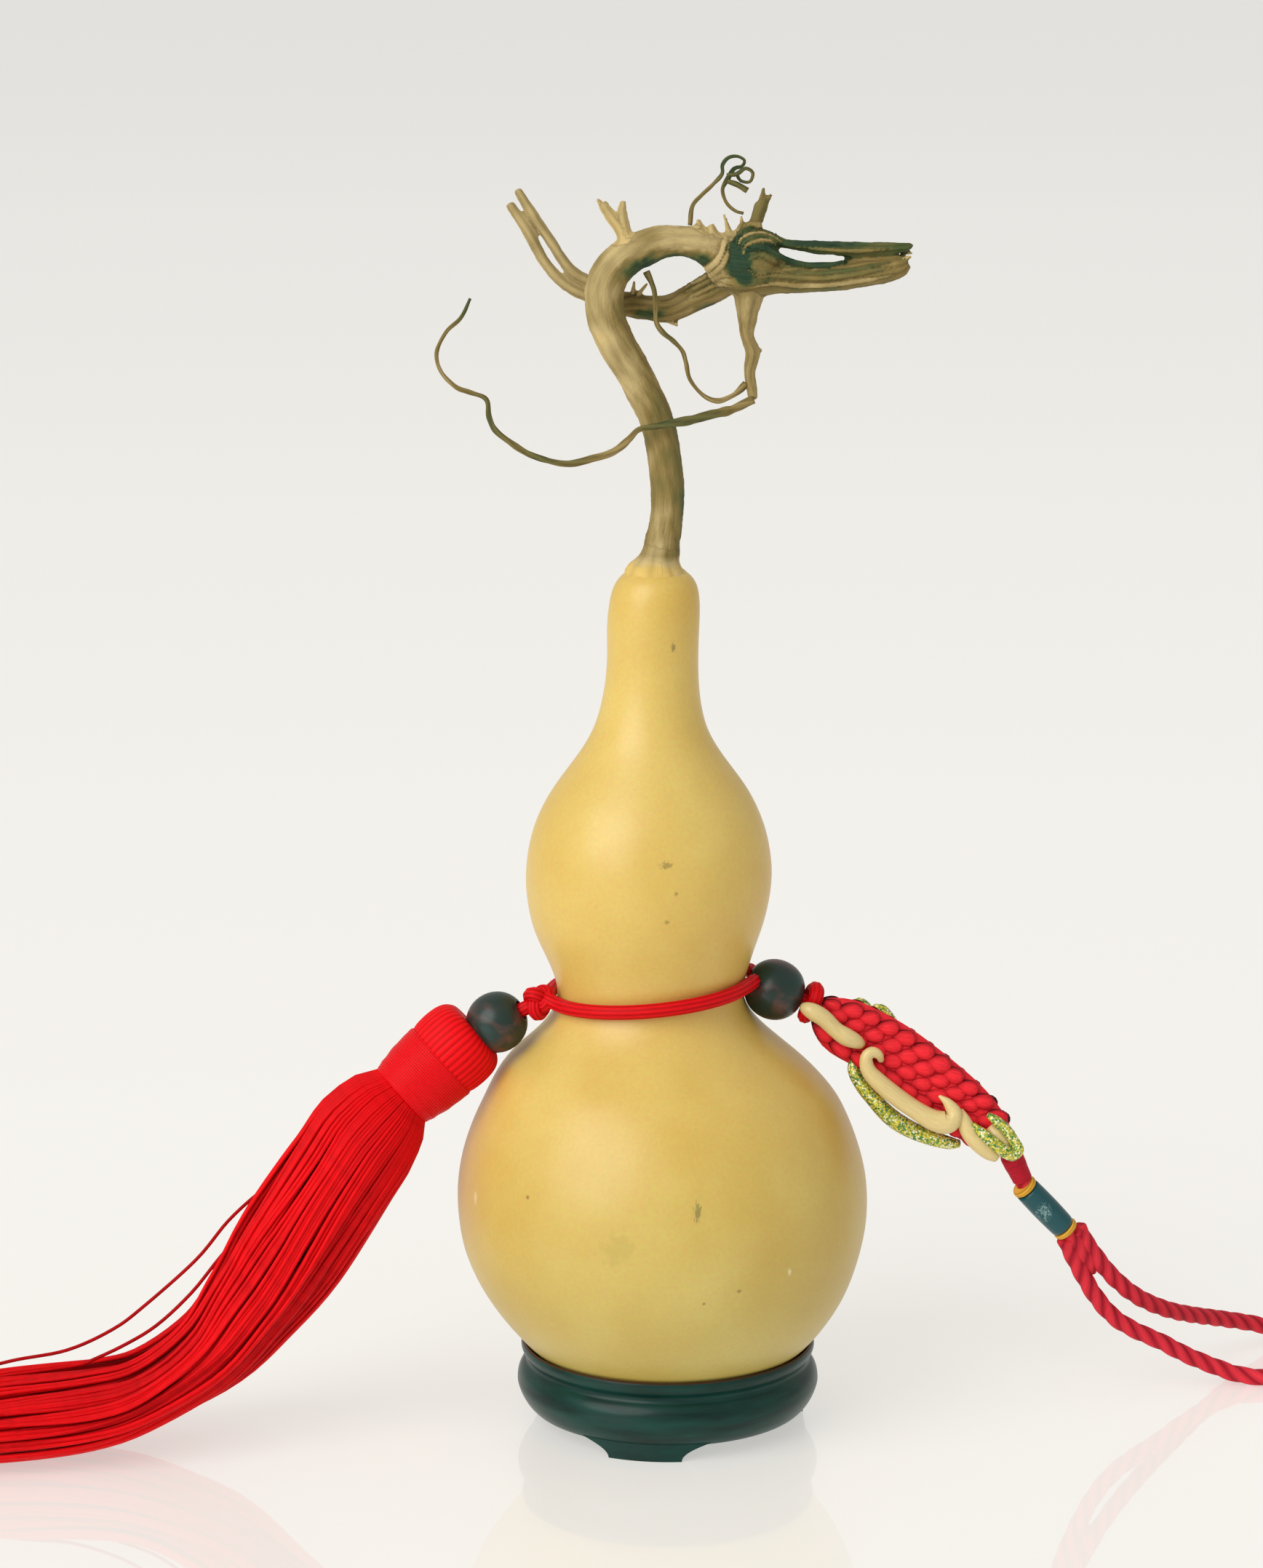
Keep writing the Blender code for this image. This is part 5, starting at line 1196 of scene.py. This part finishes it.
# Teal film: a glossy printed sleeve, deep blue-green with pale flecks that are no particular mark.
sleeve = turn_on_lathe("teal_sleeve_film", [(radius, distance) for radius, _, distance in smooth(
    [(r, 0, d) for r, d in SLEEVE_LINE], 0.4)], 64, sleeve_start, second_way)
printed_film, shader = finish_for("printed_teal_film", 0.32, Coat_Weight=0.1, Coat_Roughness=0.1,
                                  Specular_IOR_Level=0.35)
place = node(printed_film, "ShaderNodeTexCoord")
PRINT_AT = (86.4, 1.0, 49.2)
PRINT_REACH = (2.0, 4.5, 2.8)
near = node(printed_film, "ShaderNodeMapping", {
    "Vector": place.outputs["Object"],
    "Location": tuple(-spot / reach for spot, reach in zip(PRINT_AT, PRINT_REACH)),
    "Scale": tuple(1 / reach / MM for reach in PRINT_REACH)})
reach = node(printed_film, "ShaderNodeVectorMath", {0: near.outputs[0]}, operation="LENGTH")
within = node(printed_film, "ShaderNodeMapRange", {"Value": reach.outputs["Value"], "From Min": 1.1,
                                                   "From Max": 0.6})
streaks = node(printed_film, "ShaderNodeTexNoise", {"Vector": place.outputs["Object"], "Scale": 1400.0,
                                                    "Detail": 3.0, "Roughness": 0.7, "Distortion": 1.0})
flecks = node(printed_film, "ShaderNodeMapRange", {"Value": streaks.outputs["Fac"], "From Min": 0.5,
                                                   "From Max": 0.56, "To Max": 0.75})
print_mask = node(printed_film, "ShaderNodeMath", {0: flecks.outputs[0], 1: within.outputs[0]},
                  operation="MULTIPLY")
film = node(printed_film, "ShaderNodeMix", {0: print_mask.outputs[0], 6: colour("#0A4A50"),
                                            7: colour("#8FB0AE")}, data_type="RGBA")
feed(printed_film, shader, Base_Color=film.outputs[2])
settle(sleeve, printed_film, "teal_film", "teal_sleeve")


# ---------------------------------------------------------------- floor and light
# The object stands on a pale glossy board that glows a little, so that no hard shadow falls. It has one
# large soft light from the upper left, and even light from all round.
bpy.ops.mesh.primitive_plane_add(size=60.0)
floor = bpy.context.object
floor.name = "pale_floor"
board, shader = finish_for("pale_gloss_board", 0.35, Specular_IOR_Level=0.1, Coat_Weight=0.7,
                           Coat_Roughness=0.02, Coat_IOR=1.8, Emission_Strength=0.62)
shader.inputs["Base Color"].default_value = colour("#AEACA8")
shader.inputs["Emission Color"].default_value = colour("#F8F6F2")
floor.data.materials.append(board)

sun = bpy.data.lights.new("soft_key", "SUN")
sun.energy = 2.0
sun.angle = math.radians(50.0)
key = bpy.data.objects.new("soft_key", sun)
key.rotation_euler = Vector((0.78, 0.85, -0.72)).to_track_quat("-Z", "Y").to_euler()
bpy.context.scene.collection.objects.link(key)

world = bpy.data.worlds.new("studio")
bpy.context.scene.world = world
world.use_nodes = True
sky = world.node_tree.nodes["Background"]
sky.inputs["Color"].default_value = colour("#F6F4F0")
sky.inputs["Strength"].default_value = 0.65
